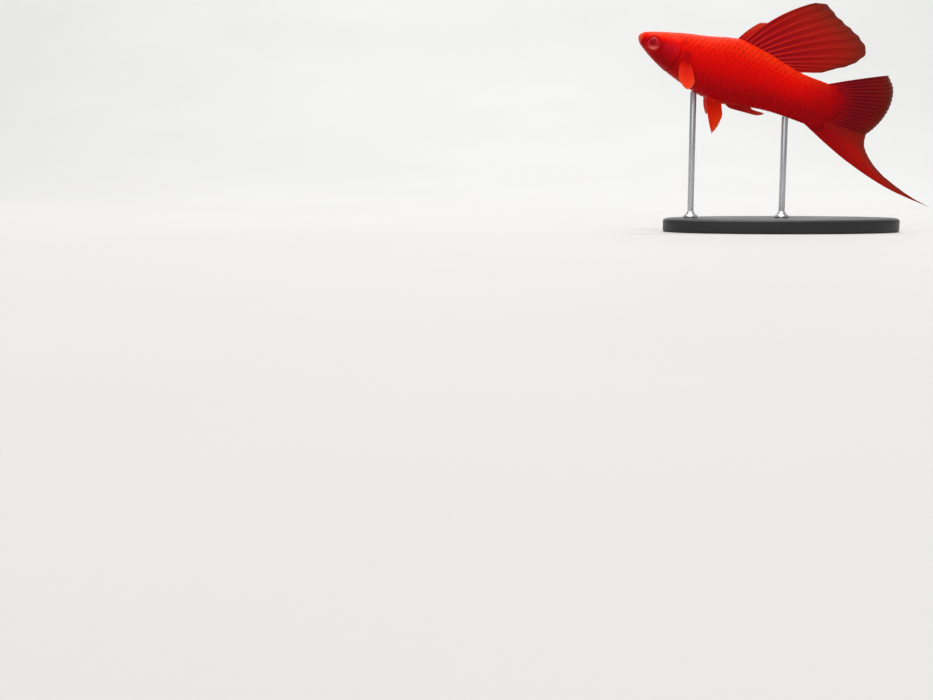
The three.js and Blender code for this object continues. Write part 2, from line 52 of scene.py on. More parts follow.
STANDARD_LENGTH = 60.0
PERCENT = STANDARD_LENGTH / 100
NOSE_UP = radians(20.5)
MM = 0.001  # in metres
SIDES = {"left": -1, "right": 1}

EYE_CENTRE = np.array([4.5, 2.05, -0.7])
EYE_RADIUS = 2.06
EYE_RIM = 2.5  # where the dome's edge lies, across the head
EYE_DOME = 0.78
EYE_SLOPE = 0.24  # the eyes turn a little forward, with the sides of the head
PUPIL_OFFSET = (-0.38, 0.22)  # the pupil lies a little ahead of the eye's middle and above it
EYE_BALL_SHARE = 1.03  # the ball is a little wider than the eye seen in its socket
LENS_SHARE = 0.43  # of the eye's radius
LENS_DEPTH = 0.3
LENS_LEVEL = 0.64  # share of the dome's height at which the lens starts
GILL_CENTRE = (4.15, -1.3)
GILL_RADIUS = 8.1
MOUTH_TIP = (-0.5, 0.95)
MOUTH_CORNER = (1.15, 0.1)
BODY_END = 101.3 * PERCENT
NOSE_RADIUS = 1.4
TAIL_ROUND_START = 91 * PERCENT
TAIL_ROUND_POWER = 2.6
SKIN_INSET = 0.04  # the bare head lies just inside the solids
COAT_DEPTH = 0.15  # the trunk lies deeper, by its scales
DORSAL_ROOT = (27.3, 43.2)  # where the dorsal fin's base starts and ends
PECTORAL_ROOTS = {"left": (14.65, -2.45), "right": (14.0, -2.8)}
DORSAL_RAYS, LOBE_RAYS, TAIL_RAYS, SWORD_RAYS, PECTORAL_RAYS, PELVIC_RAYS = 13, 4, 17, 11, 12, 7

# Where the fish's frame lies in the model's, found from the left eye

TURN = np.array([
    [math.cos(NOSE_UP), 0, math.sin(NOSE_UP)],
    [0, 1, 0],
    [-math.sin(NOSE_UP), 0, math.cos(NOSE_UP)],
])
eye_low, eye_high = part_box("eye_left")
ORIGIN = np.array((eye_low + eye_high) / 2) / MM - TURN @ (EYE_CENTRE * (1, -1, 1))


def to_model(points):
    """Points in the fish's frame, in millimetres, as points of the model in metres."""
    return (points @ TURN.T + ORIGIN) * MM


# Curves and small helpers


def smooth(value, low, high):
    """0 below low, 1 above high, and an even rise between them."""
    t = np.clip((value - low) / (high - low), 0, 1)
    return t * t * (3 - 2 * t)


def bell(value, width):
    return np.exp(-((value / width) ** 2))


join = np.concatenate


def stack(*parts):
    return np.stack(np.broadcast_arrays(*parts), -1)


def unit(vectors):
    return vectors / np.maximum(np.linalg.norm(vectors, axis=-1, keepdims=True), 1e-12)


def full_turn(count):
    return np.linspace(0, 2 * pi, count, endpoint=False)


def curve(points):
    """Smooth curve through a few (along, value) points, flat where the points are flat."""
    xs, ys = np.array(points, float).T
    slopes = np.diff(ys) / np.diff(xs)
    before, after = slopes[:-1], slopes[1:]
    same_way = before * after > 0
    mean = 2 * before * after / np.where(same_way, before + after, 1)
    tangents = join([slopes[:1], np.where(same_way, mean, 0), slopes[-1:]])

    def value(x):
        i = np.clip(np.searchsorted(xs, x) - 1, 0, len(xs) - 2)
        width = xs[i + 1] - xs[i]
        t = np.clip((x - xs[i]) / width, 0, 1)
        rise = t * t * (3 - 2 * t)
        bend = width * t * (1 - t) * (tangents[i] * (1 - t) - tangents[i + 1] * t)
        return ys[i] * (1 - rise) + ys[i + 1] * rise + bend

    return value


def percent_curve(points):
    return curve([(along * PERCENT, value * PERCENT) for along, value in points])


def line(points):
    """Smooth open line through a few points, read by the share of its length."""
    p = np.array(points, float)
    p = np.vstack([2 * p[0] - p[1], p, 2 * p[-1] - p[-2]])
    t = np.linspace(0, 1, 40, endpoint=False)[:, None]
    pieces = []
    for a, b, c, d in zip(p, p[1:], p[2:], p[3:]):
        before, between, after = (np.linalg.norm(v) ** 0.5 for v in (b - a, c - b, d - c))
        leave = ((b - a) / before - (c - a) / (before + between)) * between + (c - b)
        arrive = ((d - c) / after - (d - b) / (between + after)) * between + (c - b)
        square = 3 * (c - b) - 2 * leave - arrive
        pieces.append(b + leave * t + square * t**2 + (2 * (b - c) + leave + arrive) * t**3)
    dense = np.vstack(pieces + [p[-2:-1]])
    steps = np.linalg.norm(np.diff(dense, axis=0), axis=1)
    along = join([[0], np.cumsum(steps)]) / steps.sum()
    return lambda share: np.stack([np.interp(share, along, axis) for axis in dense.T], -1)


def distance_to(x, z, path):
    """Distance in the x-z plane from points to a line of straight pieces."""
    nearest = np.full(np.shape(x + z), 1e9)
    for (x0, z0), (x1, z1) in zip(path, path[1:]):
        dx, dz = x1 - x0, z1 - z0
        t = np.clip(((x - x0) * dx + (z - z0) * dz) / (dx * dx + dz * dz), 0, 1)
        nearest = np.minimum(nearest, np.hypot(x - x0 - t * dx, z - z0 - t * dz))
    return nearest


# Body form, in percent of the standard length, the same as the solids'

back_line = percent_curve([
    (0, 2.2), (4.3, 3.9), (8.7, 5.5), (17.7, 8.5), (31.5, 12), (40.7, 14.8),
    (44.7, 15.6), (50.8, 15.1), (61.5, 13.8), (72.8, 11.8), (83.2, 11.2), (101.3, 11.2),
])
belly_line = percent_curve([
    (0, -1.8), (4, -4.3), (8.8, -7), (18, -10.8), (24.8, -12.7), (32.2, -14.5), (39.3, -15.5),
    (48.3, -15.3), (55, -14), (61.7, -12.4), (68.8, -11.2), (77, -10.6), (101.3, -10.3),
])
side_line = percent_curve([
    (0, 2.9), (3.3, 3.9), (7.5, 4.9), (13.3, 6.3), (20, 7.3), (28.3, 7.9), (36.7, 8.1),
    (46.7, 7.7), (56.7, 6.7), (66.7, 5.5), (76.7, 4.4), (86.7, 3.35), (95, 2.5), (101.3, 1.9),
])
widest_level = percent_curve([(0, 0.4), (8, -0.2), (22, -1.8), (40, -1.2), (70, 0), (101.3, 0.3)])
back_fullness = curve([(0, 2.5), (7.2, 2.7), (18, 2.15), (36, 1.9), (BODY_END, 1.8)])
belly_fullness = curve([(0, 2.2), (7.2, 1.9), (21, 2.2), (36, 2), (BODY_END, 1.8)])


def end_rounding(x):
    nose = 1 - np.minimum(x / NOSE_RADIUS, 1)
    tail = np.maximum(x - TAIL_ROUND_START, 0) / (BODY_END - TAIL_ROUND_START)
    tail_round = np.maximum(1 - tail**TAIL_ROUND_POWER, 0) ** (1 / TAIL_ROUND_POWER)
    return np.sqrt(np.maximum(1 - nose * nose, 0)) * tail_round


def stalk_taper(x):
    """The flesh thins from side to side where the tail's rays leave it."""
    return 1 - 0.62 * smooth(x, 50, BODY_END)


def swing(x):
    """The tail and its fins swing a little to the left of the body axis."""
    return -0.00045 * np.maximum(x - 25, 0) ** 2


def plain_skin(x, angle):
    """The smooth body's surface at x behind the snout and at an angle round the body."""
    rounding = end_rounding(x)
    level = widest_level(x) * rounding
    cosine, sine = np.cos(angle), np.sin(angle)
    up = sine >= 0
    fullness = np.where(up, back_fullness(x), belly_fullness(x))
    size = (np.abs(cosine) ** fullness + np.abs(sine) ** fullness) ** (-1 / fullness)
    reach = np.where(up, back_line(x) * rounding - level, level - belly_line(x) * rounding)
    y = side_line(x) * stalk_taper(x) * rounding * cosine * size + swing(x)
    return stack(x * 1.0, y, level + reach * sine * size)


def skin_normal(x, angle):
    step = 0.02
    inside = np.clip(x, 2 * step, BODY_END - 2 * step)
    along = plain_skin(inside + step, angle) - plain_skin(inside - step, angle)
    around = plain_skin(inside, angle + step) - plain_skin(inside, angle - step)
    return -unit(np.cross(along, around))


# Head relief: lips, nostrils, pores, plates and folds, as (path in the x-z plane, height, width)


def arc(centre, radius, first, last, count=14):
    angles = np.radians(np.linspace(first, last, count))
    return [(centre[0] + radius * math.cos(a), centre[1] + radius * math.sin(a)) for a in angles]


EYE_PLACE = (EYE_CENTRE[0], EYE_CENTRE[2])
PUPIL_PLACE = (EYE_PLACE[0] + PUPIL_OFFSET[0], EYE_PLACE[1] + PUPIL_OFFSET[1])
mouth_slope = (MOUTH_CORNER[1] - MOUTH_TIP[1]) / (MOUTH_CORNER[0] - MOUTH_TIP[0])


def beside_mouth(offset, end):
    """A line beside the mouth's, from in front of the snout to end."""
    return [(x, MOUTH_TIP[1] + (x - MOUTH_TIP[0]) * mouth_slope + offset) for x in (-0.8, end)]


def above_belly(first, last, height):
    return [(x, float(belly_line(x)) + height) for x in np.linspace(first, last, 8)]


FOLDS = {
    "mouth": (beside_mouth(0, 1.4), -0.2, 0.08),
    "upper lip": (beside_mouth(0.38, 0.8), 0.06, 0.26),
    "lower lip": (beside_mouth(-0.4, 0.8), 0.08, 0.28),
    "upper lip crease": (beside_mouth(0.86, 0.7) + [(1.5, 0.3)], -0.08, 0.13),
    "lower lip crease": (beside_mouth(-0.92, 0.7), -0.07, 0.14),
    "jaw corner": ([MOUTH_CORNER, (1.45, -0.5), (1.75, -1.3), (2.0, -2.0)], -0.12, 0.15),
    "snout fold": ([(1.9, 0.6), (2.05, -0.4), (2.4, -1.4), (2.75, -2.2)], -0.1, 0.12),
    "cheek fold 1": ([(7.15, -1.9), (7.6, -3.0), (7.65, -4.1), (7.35, -4.9)], -0.18, 0.17),
    "cheek fold 2": ([(6.7, -2.6), (7.0, -3.6), (6.85, -4.6)], -0.13, 0.12),
    "cheek fold 3": ([(6.0, -2.9), (6.2, -3.6), (6.0, -4.3)], -0.11, 0.12),
    "cheek fold 4": ([(5.0, -3.0), (5.2, -3.5), (5.0, -4.0)], -0.1, 0.11),
    "brow notch": ([(5.7, 2.95), (6.3, 2.8), (7.1, 2.5)], -0.2, 0.15),
    "temple crease": ([(6.85, 1.6), (7.3, 0.9), (7.45, 0.1), (7.3, -0.8)], -0.14, 0.18),
    "orbit groove": (arc(EYE_PLACE, 1.28 * EYE_RADIUS, -60, 60, 22), -0.12, 0.17),
    "orbit groove in front": (arc(EYE_PLACE, 1.22 * EYE_RADIUS, 130, 250, 22), -0.05, 0.14),
    "brow": (arc(EYE_PLACE, 1.18 * EYE_RADIUS, 20, 140), 0.1, 0.24),
    "preopercle ridge": (arc(GILL_CENTRE, 0.53 * GILL_RADIUS, -66, 8, 20), 0.06, 0.24),
    "opercle crease": ([(9.4, 0.2), (10.2, -1.2), (10.5, -2.9)], -0.08, 0.14),
    "subopercle": ([(8.3, -4.6), (9.7, -4.5), (11.3, -4.2)], -0.12, 0.12),
    "throat ray 1": (above_belly(6.2, 9.6, 1.0), -0.05, 0.1),
    "throat ray 2": (above_belly(5.6, 9.4, 0.6), -0.05, 0.1),
}
PITS = {  # place in the x-z plane, depth, radius
    "front nostril": ((1.35, 1.3), 0.17, 0.15),
    "rear nostril": ((2.0, 1.15), 0.17, 0.15),
    "pore above the eye": ((4.5, 2.1), 0.1, 0.12),
    "snout pore": ((2.9, 1.9), 0.1, 0.11),
    "cheek pore": ((8.4, -2.3), 0.08, 0.11),
    "jaw pore": ((4.1, -3.1), 0.08, 0.11),
    "lower jaw pore": ((3.1, -2.6), 0.08, 0.1),
}


def gill_share(x, z):
    return np.hypot(x - GILL_CENTRE[0], z - GILL_CENTRE[1]) / GILL_RADIUS


def fold_height(x, z, path, height, width):
    """A fold's relief, which dies away at both ends."""
    span = math.hypot(path[-1][0] - path[0][0], path[-1][1] - path[0][1])
    reach = min(3 * width, 0.3 * span)
    ends = sum(bell(np.hypot(x - px, z - pz), reach) for px, pz in (path[0], path[-1]))
    return height * bell(distance_to(x, z, path), width) * np.maximum(1 - ends, 0)


def fold_relief(x, z):
    """The head's folds and pores."""
    relief = sum(fold_height(x, z, *fold) for fold in FOLDS.values())
    relief = relief * np.where(x > 2.5, smooth(z - belly_line(x), 0.1, 1.0), 1)
    for (px, pz), depth, radius in PITS.values():
        away = np.hypot(x - px, z - pz)
        relief = relief - depth * bell(away, radius) + 0.15 * depth * bell(away - 1.7 * radius, 0.5 * radius)
    return relief


def head_relief(x, z):
    """How far the head's skin stands out of the smooth body: folds, the eye's socket and the gill cover."""
    from_eye = np.hypot(x - EYE_PLACE[0], z - EYE_PLACE[1]) / EYE_RADIUS
    socket = 0.12 * bell(from_eye - 1.08, 0.12) - 0.6 * (1 - smooth(from_eye, 0.82, 1.03))
    out = gill_share(x, z)
    below_crown = 1 - smooth(z, 1.5, 4.5)
    cover = 0.3 * smooth(out, 0.45, 0.95) * smooth(x, 6, 9) * (1 - smooth(out, 0.985, 1.008))
    slit = 0.2 * bell((out - 1.022) * GILL_RADIUS, 0.13) * smooth(x, 6, 9)
    above_throat = smooth(z - belly_line(x), 0.15, 1.4)
    return fold_relief(x, z) + socket + (cover - slit) * below_crown * above_throat


def body_relief(x, y, z):
    """Fin bases and the vent, on the trunk."""
    start, end = DORSAL_ROOT
    base = smooth(x, start - 1, start + 1) * (1 - smooth(x, end, end + 2.5))
    from_ridge = y - swing(x)
    sheath = 0.3 * base * bell(from_ridge, 0.75) * (z > 0)
    vent = 0.22 * bell(x - 28.6, 0.9) * bell(from_ridge, 0.9) * (z < 0)
    relief = sheath + vent
    for side, (px, pz) in PECTORAL_ROOTS.items():
        on_side = from_ridge * SIDES[side] > 0
        relief = relief + 0.4 * on_side * bell(np.hypot((x - px) / 1.2, z - pz + 0.1), 1.2)
    return relief


def coat_share(x, z):
    """How full the scale coat is: none on the face, thin on the crown, full behind the gill cover."""
    behind = smooth(gill_share(x, z), 0.99, 1.06)
    crown = smooth(x + 0.6 * z, 7.4, 12)
    return np.maximum(behind, crown * smooth(z, 1.4, 2.8))


def coat_depth(x, z):
    return SKIN_INSET + (COAT_DEPTH - SKIN_INSET) * coat_share(x, z)


# Meshes


def make_piece(name, points, *shape):
    """A smooth mesh piece from points in the fish's frame."""
    return mesh_piece(name, to_model(points.reshape(-1, 3)), *shape)


def mesh_piece(name, points, quads, triangles=None, attributes=None, uv=None):
    """A smooth mesh piece from points in the model's frame, in metres; uv has one place for each corner."""
    triangles = np.zeros((0, 3), int) if triangles is None else triangles
    corners = join([quads.ravel(), triangles.ravel()]).astype(np.int32)
    starts = join([np.arange(len(quads)) * 4, 4 * len(quads) + np.arange(len(triangles)) * 3])
    mesh = bpy.data.meshes.new(name)
    mesh.vertices.add(len(points))
    mesh.vertices.foreach_set("co", np.ascontiguousarray(points, np.float32).ravel())
    mesh.loops.add(len(corners))
    mesh.loops.foreach_set("vertex_index", corners)
    mesh.polygons.add(len(starts))
    mesh.polygons.foreach_set("loop_start", starts.astype(np.int32))
    mesh.update(calc_edges=True)
    mesh.polygons.foreach_set("use_smooth", np.ones(len(starts), bool))
    for key, values in (attributes or {}).items():
        layer = mesh.attributes.new(key, "FLOAT", "POINT")
        layer.data.foreach_set("value", np.asarray(values, np.float32).ravel())
    if uv is not None:
        layer = mesh.uv_layers.new(name="OFBake")
        layer.data.foreach_set("uv", np.asarray(uv, np.float32).ravel())
    mesh.validate()
    piece = bpy.data.objects.new(name, mesh)
    bpy.context.scene.collection.objects.link(piece)
    return piece


def grid_quads(rows, columns, wrap=False):
    """Faces of a grid of points stored row by row; wrap closes each row on itself."""
    r, c = np.meshgrid(np.arange(rows - 1), np.arange(columns if wrap else columns - 1), indexing="ij")
    right = (c + 1) % columns
    low, high = r * columns, (r + 1) * columns
    return stack(low + c, low + right, high + right, high + c).reshape(-1, 4)


def tube(rings, ends):
    """Points, quads and end triangles of a closed tube, from its rings of points and its two end points."""
    rows, sides = rings.shape[:2]
    ring = np.arange(sides)
    after = (ring + 1) % sides
    first, last = rows * sides, (rows - 1) * sides
    caps = join([stack(first, after, ring), stack(first + 1, ring + last, after + last)])
    return join([rings.reshape(-1, 3), ends]), grid_quads(rows, sides, wrap=True), caps


def joined_piece(name, shapes):
    """One piece of many small closed shapes, each given by its points, quads, triangles and attributes."""
    points, quads, triangles, attributes = zip(*shapes)
    starts = np.cumsum([0] + [len(p) for p in points])
    faces = [join([f + start for f, start in zip(kind, starts)]) for kind in (quads, triangles)]
    joined = {key: join([a[key] for a in attributes]) for key in attributes[0]}
    return make_piece(name, join(points), *faces, joined)


# Skin

AROUND = 248  # points round the body
HEAD_STEP, TRUNK_STEP = 0.09, 0.3  # from one ring of points to the next
HEAD_END = 15
nose_stations = NOSE_RADIUS * (1 - np.cos(np.linspace(0.03, 1, 40) * pi / 2))
tail_reach = BODY_END - TAIL_ROUND_START
tail_stations = TAIL_ROUND_START + tail_reach * np.sin(np.linspace(0, 0.985, 26) * pi / 2)
head_stations = np.arange(NOSE_RADIUS + HEAD_STEP, HEAD_END, HEAD_STEP)
trunk_stations = np.arange(HEAD_END + 0.1, TAIL_ROUND_START - 0.1, TRUNK_STEP)
STATIONS = join([nose_stations, head_stations, trunk_stations, tail_stations])
climb = np.hypot(np.diff(STATIONS), np.diff(back_line(STATIONS) * end_rounding(STATIONS)))
STATION_SHARE = join([[0], np.cumsum(climb)]) / climb.sum()


def unwrap(x, angle):
    """Place on a flat unwrap of the skin: from snout to tail, and from belly round to belly."""
    return np.interp(x, STATIONS, STATION_SHARE), (angle + pi / 2) / (2 * pi)


def skin_piece():
    turn = np.linspace(-0.5, 1.5, AROUND + 1)[:-1] * pi
    x, angle = np.meshgrid(STATIONS, turn - 0.16 * np.sin(2 * turn), indexing="ij")  # closer along the sides
    plain = plain_skin(x, angle)
    y, z = plain[..., 1], plain[..., 2]
    lift = head_relief(x, z) + body_relief(x, y, z) - coat_depth(x, z)
    rings = plain + skin_normal(x, angle) * lift[..., None]
    height = rings[..., 2]
    # The fold attribute: the head's folds and pits, with the gill slit cut deeper, which the skin's finish
    # paints as shade in these creases.
    slit = 0.35 * bell((gill_share(x, height) - 1.015) * GILL_RADIUS, 0.2)
    slit = slit * smooth(x, 6, 9) * (1 - smooth(height, 1.0, 2.8))
    fold = np.append((fold_relief(x, height) - slit).ravel(), [0, 0])
    around = np.append(np.sin(angle).ravel(), [0, 0])
    points, quads, caps = tube(rings, [rings[0].mean(0), rings[-1].mean(0)])
    quads, caps = quads[:, ::-1], caps[:, ::-1]
    u, v = unwrap(x, angle)
    u, v = np.append(u.ravel(), [0, 1]), np.append(v.ravel(), [0.5, 0.5])
    uv = []
    for faces in (quads, caps):
        places = stack(u[faces], v[faces])
        across = places[..., 1]
        across[(np.ptp(across, axis=1) > 0.6)[:, None] & (across < 0.1)] = 1.0
        uv.append(places.reshape(-1, 2))
    return make_piece("skin", points, quads, caps, {"around": around, "fold": fold}, join(uv))


# Scales: thin overlapping plates in rows along the body, each rear edge lifted a little

SCALE_PITCH = 1.5  # from one scale to the next along a row
SCALE_ROWS = 13  # from the back's middle line down to the belly's
SCALE_LENGTH = 1.85 * SCALE_PITCH
SCALE_LIFT = 0.085
SCALE_THICKNESS = 0.05
FIRST_TIP = 8.6
PLATE_GRID = 11  # points along and across a scale
PATCH = 0.003  # size of each scale's place on the unwrap

reference_angle = np.linspace(pi / 2, -pi / 2, 400)
ring_steps = np.linalg.norm(np.diff(plain_skin(24.0, reference_angle), axis=0), axis=1)
ring_share = join([[0], np.cumsum(ring_steps)]) / ring_steps.sum()


def row_angle(share):
    """Angle of a row: 0 is the back's middle line, 1 the belly's by the right side, -1 by the left."""
    size = np.abs(share)
    crease_shade = np.where(size > 1, 2 - size, size)
    down = pi / 2 - np.interp(crease_shade, ring_share, reference_angle)
    down = np.where(size > 1, 2 * pi - down, down)
    return pi / 2 - np.sign(share) * down


def scale_places(side):
    """Rear tip x and row share of every scale on one side."""
    places = []
    for row in range(SCALE_ROWS + 1):
        if (row == 0 and side == "right") or (row == SCALE_ROWS and side == "left"):
            continue
        share = SIDES[side] * row / SCALE_ROWS
        for tip in np.arange(FIRST_TIP + 0.5 * SCALE_PITCH * (row % 2), BODY_END - 0.3, SCALE_PITCH):
            x, y, z = plain_skin(tip, row_angle(share))
            out = gill_share(x, z)
            coated = coat_share(tip - 0.4 * SCALE_LENGTH, z) > 0.12 or out > 1.05
            at_slit = 0.86 < out < 1.1 and z < 2.8
            on_cover = out < 1 and z < 2.4
            at_fin = row == 0 and DORSAL_ROOT[0] - 0.6 < x < DORSAL_ROOT[1] + 3.4
            px, pz = PECTORAL_ROOTS[side]
            at_pectoral = math.hypot((x - px - 0.7) / 1.1, z - pz) < 1.35
            if coated and not (at_slit or on_cover or at_fin or at_pectoral):
                places.append((tip, share))
    return np.array(places)


def body_coat(x, row):
    """Where the scale coat lies at x in a row: points, normals, how full it is and how far up the body."""
    angle = row_angle(row)
    plain = plain_skin(x, angle)
    y, z = plain[..., 1], plain[..., 2]
    normal = skin_normal(x, angle)
    base = body_relief(x, y, z) - np.where(z < 2.6, COAT_DEPTH, coat_depth(x, z))
    return plain + normal * base[..., None], normal, 0.3 + 0.7 * smooth(x, 9, 15), np.sin(angle)


def plates_piece(name, places, length, half_width, coat, unwrapped, random, lift=SCALE_LIFT):
    """Overlapping plates on a coat(along, row), each given by its rear tip's place and its row."""
    count = len(places)
    tip, row = (v[:, None, None] for v in places.T)
    a = np.linspace(0, 1, PLATE_GRID)[None, :, None]
    b = np.linspace(-1, 1, PLATE_GRID)[None, None, :]
    stretch = 1 + 0.05 * random.standard_normal((count, 1, 1))
    rear = 0.45 * (1 - np.sqrt(1 - (0.93 * b) ** 2)) / (1 - math.sqrt(1 - 0.93**2))
    along = tip - length * ((1 - a) + rear * (0.35 + 0.65 * a) * stretch)
    tilt = 1 + 0.12 * random.standard_normal((count, 1, 1))
    base, normals, full, around = coat(along, row + b * half_width * np.ones_like(a))
    raised = lift * full * tilt * a**1.2 * (1 - 0.2 * b * b - 0.75 * b**4)
    raised = raised - SCALE_THICKNESS * (1 - a) - 0.6 * SCALE_THICKNESS * smooth(a, 0.93, 1)
    top = (base + normals * raised[..., None]).reshape(count, -1, 3)
    normals = normals.reshape(count, -1, 3)
    grid = np.arange(PLATE_GRID**2).reshape(PLATE_GRID, PLATE_GRID)
    rim = join([grid[0, :-1], grid[:-1, -1], grid[-1, :0:-1], grid[:0:-1, 0]])
    under = top[:, rim] - normals[:, rim] * SCALE_THICKNESS
    middle = top[:, grid[PLATE_GRID // 2, PLATE_GRID // 2]] - normals[:, 0] * 2 * SCALE_THICKNESS
    points = join([top, under, middle[:, None]], 1)
    low = grid.size + np.arange(len(rim))
    low_after, rim_after = np.roll(low, -1), np.roll(rim, -1)
    quads = join([grid_quads(PLATE_GRID, PLATE_GRID), stack(low, low_after, rim_after, rim)])
    fan = stack(grid.size + len(rim), low_after, low)
    each = points.shape[1]
    shift = (np.arange(count) * each)[:, None, None]
    quads, fan = (quads + shift).reshape(-1, 4), (fan + shift).reshape(-1, 3)

    def spread(grid_values, centre_value):
        whole = np.broadcast_to(grid_values, (count, PLATE_GRID, PLATE_GRID)).reshape(count, -1)
        return join([whole, whole[:, rim], np.full((count, 1), centre_value)], 1)

    lengthwise, crosswise = spread(a + 0 * b, 0.5), spread(b + 0 * a, 0.0)
    u, v = unwrapped(tip[:, :, 0] - length, row[:, :, 0])
    u = np.clip(u + PATCH * (lengthwise - 0.5), 0, 1)
    v = np.clip(v + PATCH * crosswise / 2, 0, 1)
    corners = join([quads.ravel(), fan.ravel()])
    attributes = {
        "around": spread(around, 0), "lengthwise": lengthwise, "crosswise": crosswise,
        "tint": np.repeat(random.random(count), each), "marked": spread(full, 0.5),
    }
    return make_piece(name, points, quads, fan, attributes, stack(u.ravel()[corners], v.ravel()[corners]))


def scales_piece(side, random):
    def unwrapped(x, row):
        return unwrap(x, row_angle(row))

    half_width = 1.12 / SCALE_ROWS
    return plates_piece(
        f"scales_{side}", scale_places(side), SCALE_LENGTH, half_width, body_coat, unwrapped, random
    )


# Eyes: a full dome in its socket, with a raised lens


def eye_dome(name, side, place, radius, depth, base, rings, ball=1.15, back=2.0, sides=72):
    """A closed dome: the cap of a ball, ball times as wide as the dome, with a deeper or flatter back."""
    sign = SIDES[side]
    share = np.sin(np.linspace(0.03, 1, rings) * pi / 2)
    rim_drop = math.sqrt(ball**2 - 1)
    height = (np.sqrt(ball**2 - share**2) - rim_drop) / (ball - rim_drop)
    r, a = np.meshgrid(share, full_turn(sides), indexing="ij")
    h = np.broadcast_to(height[:, None], r.shape)
    x, z = place[0] + radius * r * np.cos(a), place[1] + radius * r * np.sin(a)
    level = base + EYE_SLOPE * (x - EYE_PLACE[0])
    outer = stack(x, sign * (level + depth * h), z)
    inner = stack(x, sign * (level - back * depth * h), z)[::-1][1:]
    centre = base + EYE_SLOPE * (place[0] - EYE_PLACE[0])
    ends = [[place[0], sign * (centre + d), place[1]] for d in (depth, -back * depth)]
    points, quads, caps = tube(join([outer, inner]), ends)
    return make_piece(name, points, quads[:, ::-sign], caps[:, ::-sign])


# Fins. Each is a surface(share, t): share runs across from the first ray to the last, t from root to tip.


def bowed(root, tip, bow, t):
    """From root to tip in the x-z plane, bowed sideways by a share of the length."""
    along = tip - root
    middle = (root + tip) / 2 + stack(-along[..., 1], along[..., 0]) * np.asarray(bow)[..., None]
    t = t[..., None]
    return root * (1 - t) ** 2 + 2 * middle * t * (1 - t) + tip * t**2


def with_wave(flat, wave):
    x, z = flat[..., 0], flat[..., 1]
    return stack(x, swing(x) + wave, z)


dorsal_margin = line([
    (43.6, 26.2), (46.9, 26.9), (50.4, 25.1), (54, 23.6), (57.4, 22.2), (60.4, 20.4), (62.1, 18.3),
    (61.2, 15.7), (58.8, 13.1), (55.6, 11), (52.6, 8.9), (49.6, 8.1),
])
LOBE_TIP = (31.2, 15.8)
tail_root = line([(54.2, 5.6), (56.6, 4.6), (58.2, 2.6), (58.7, 0), (58.3, -2.2), (57.6, -3.2)])
tail_margin = line([
    (70.6, 14.7), (72.9, 12.2), (74, 8.8), (74.2, 5.2), (73.5, 2), (72.3, -0.6), (70.9, -2.95),
])
sword_root = line([(57.5, -3.6), (56.4, -4.7), (53.2, -5.9)])
sword_upper = line([
    (70.9, -3.25), (71.7, -6.1), (74.6, -8.9), (78.8, -11.4), (82.9, -12.9), (90.1, -14.8), (95.9, -15.6),
])
sword_lower = line([(53.2, -5.9), (56.6, -7.3), (61.9, -9.4), (69.6, -12), (82.2, -14.9), (95.9, -15.9)])
WEB_RAYS = 0.4  # this share of the sword's rays lies in the web between it and the fan
WEB_SHARE = 0.17  # and takes up this share of the sword
PECTORAL_HALF_ROOT = 1.2
PECTORAL_LENGTH = 8.9
PECTORAL_POSES = {  # root, direction, line across, spread, cup
    "left": ((14.65, -4, -2.45), (0.32, -0.42, -0.9), (0.97, -0.05, 0.2), radians(10), 0.5),
    "right": ((14, 3.6, -2.8), (0.9, 0.42, 0.02), (0.12, 0.3, 0.95), radians(24), -0.8),
}
pelvic_root = line([(24.3, -8.2), (28.2, -8)])
pelvic_tips = line([(29.3, -18.3), (30, -16.4), (30.3, -14.4), (30.3, -12.3), (29.5, -10.6)])
PELVIC_BESIDE_MIDDLE = 1
PELVIC_POSES = {  # splay, how far ahead the root lies, how far ahead the tip swings
    "left": (radians(8), 0.2, -0.2), "right": (radians(66), 0.6, 1),
}


def dorsal_root(share):
    x = DORSAL_ROOT[0] + (DORSAL_ROOT[1] - DORSAL_ROOT[0]) * share
    return stack(x, back_line(x) - 1.6)


def dorsal_fan(share, t):
    root = dorsal_root(0.05 + 0.95 * share**1.05)
    flat = bowed(root, dorsal_margin(share), 0.14 - 0.19 * share, t)
    return with_wave(flat, 0.55 * t * t * np.sin(2.4 * pi * share + 0.6))


def dorsal_lobe(share, t):
    """The short first rays, whose membrane joins the lower part of the fan's first ray."""
    first = bowed(dorsal_root(-0.07 + 0 * t), LOBE_TIP + 0 * dorsal_root(t), 0.1 + 0 * t, t)
    edge = with_wave(first, 0.55 * t * t * math.sin(0.6))
    mate = dorsal_fan(0 * share, 0.42 * t)
    return edge + (mate - edge) * np.asarray(share)[..., None]


def tail_fan(share, t):
    flat = bowed(tail_root(share), tail_margin(share), 0.02 * (1 - 2 * share), t)
    return with_wave(flat, 0.35 * t * t * np.cos(3 * pi * share) * (1 - smooth(share, 0.85, 1)))


def plain_sword(share, t):
    """Rays that run beside the lower edge and leave it by an even, growing or shrinking, distance."""
    start, end = sword_lower(0.0), sword_lower(1.0)
    tip = sword_upper(share**0.8)
    abreast = (tip[..., 0] - start[0]) / (end[0] - start[0])
    root_offset, tip_offset = sword_root(share) - start, tip - sword_lower(abreast)
    out = t[..., None]
    return with_wave(sword_lower(t * abreast) + root_offset * (1 - out) + tip_offset * out, 0)


def sword(share, t):
    """The sword with its web, which starts at the fan's last ray."""
    in_web = WEB_SHARE * share / WEB_RAYS
    beyond = WEB_SHARE + (1 - WEB_SHARE) * (share - WEB_RAYS) / (1 - WEB_RAYS)
    spread = np.where(share < WEB_RAYS, in_web, beyond)
    to_fan = tail_fan(1 + 0 * share, t) - plain_sword(0 * share, t)
    return plain_sword(spread, t) + to_fan * np.maximum(1 - share / WEB_RAYS, 0)[..., None]


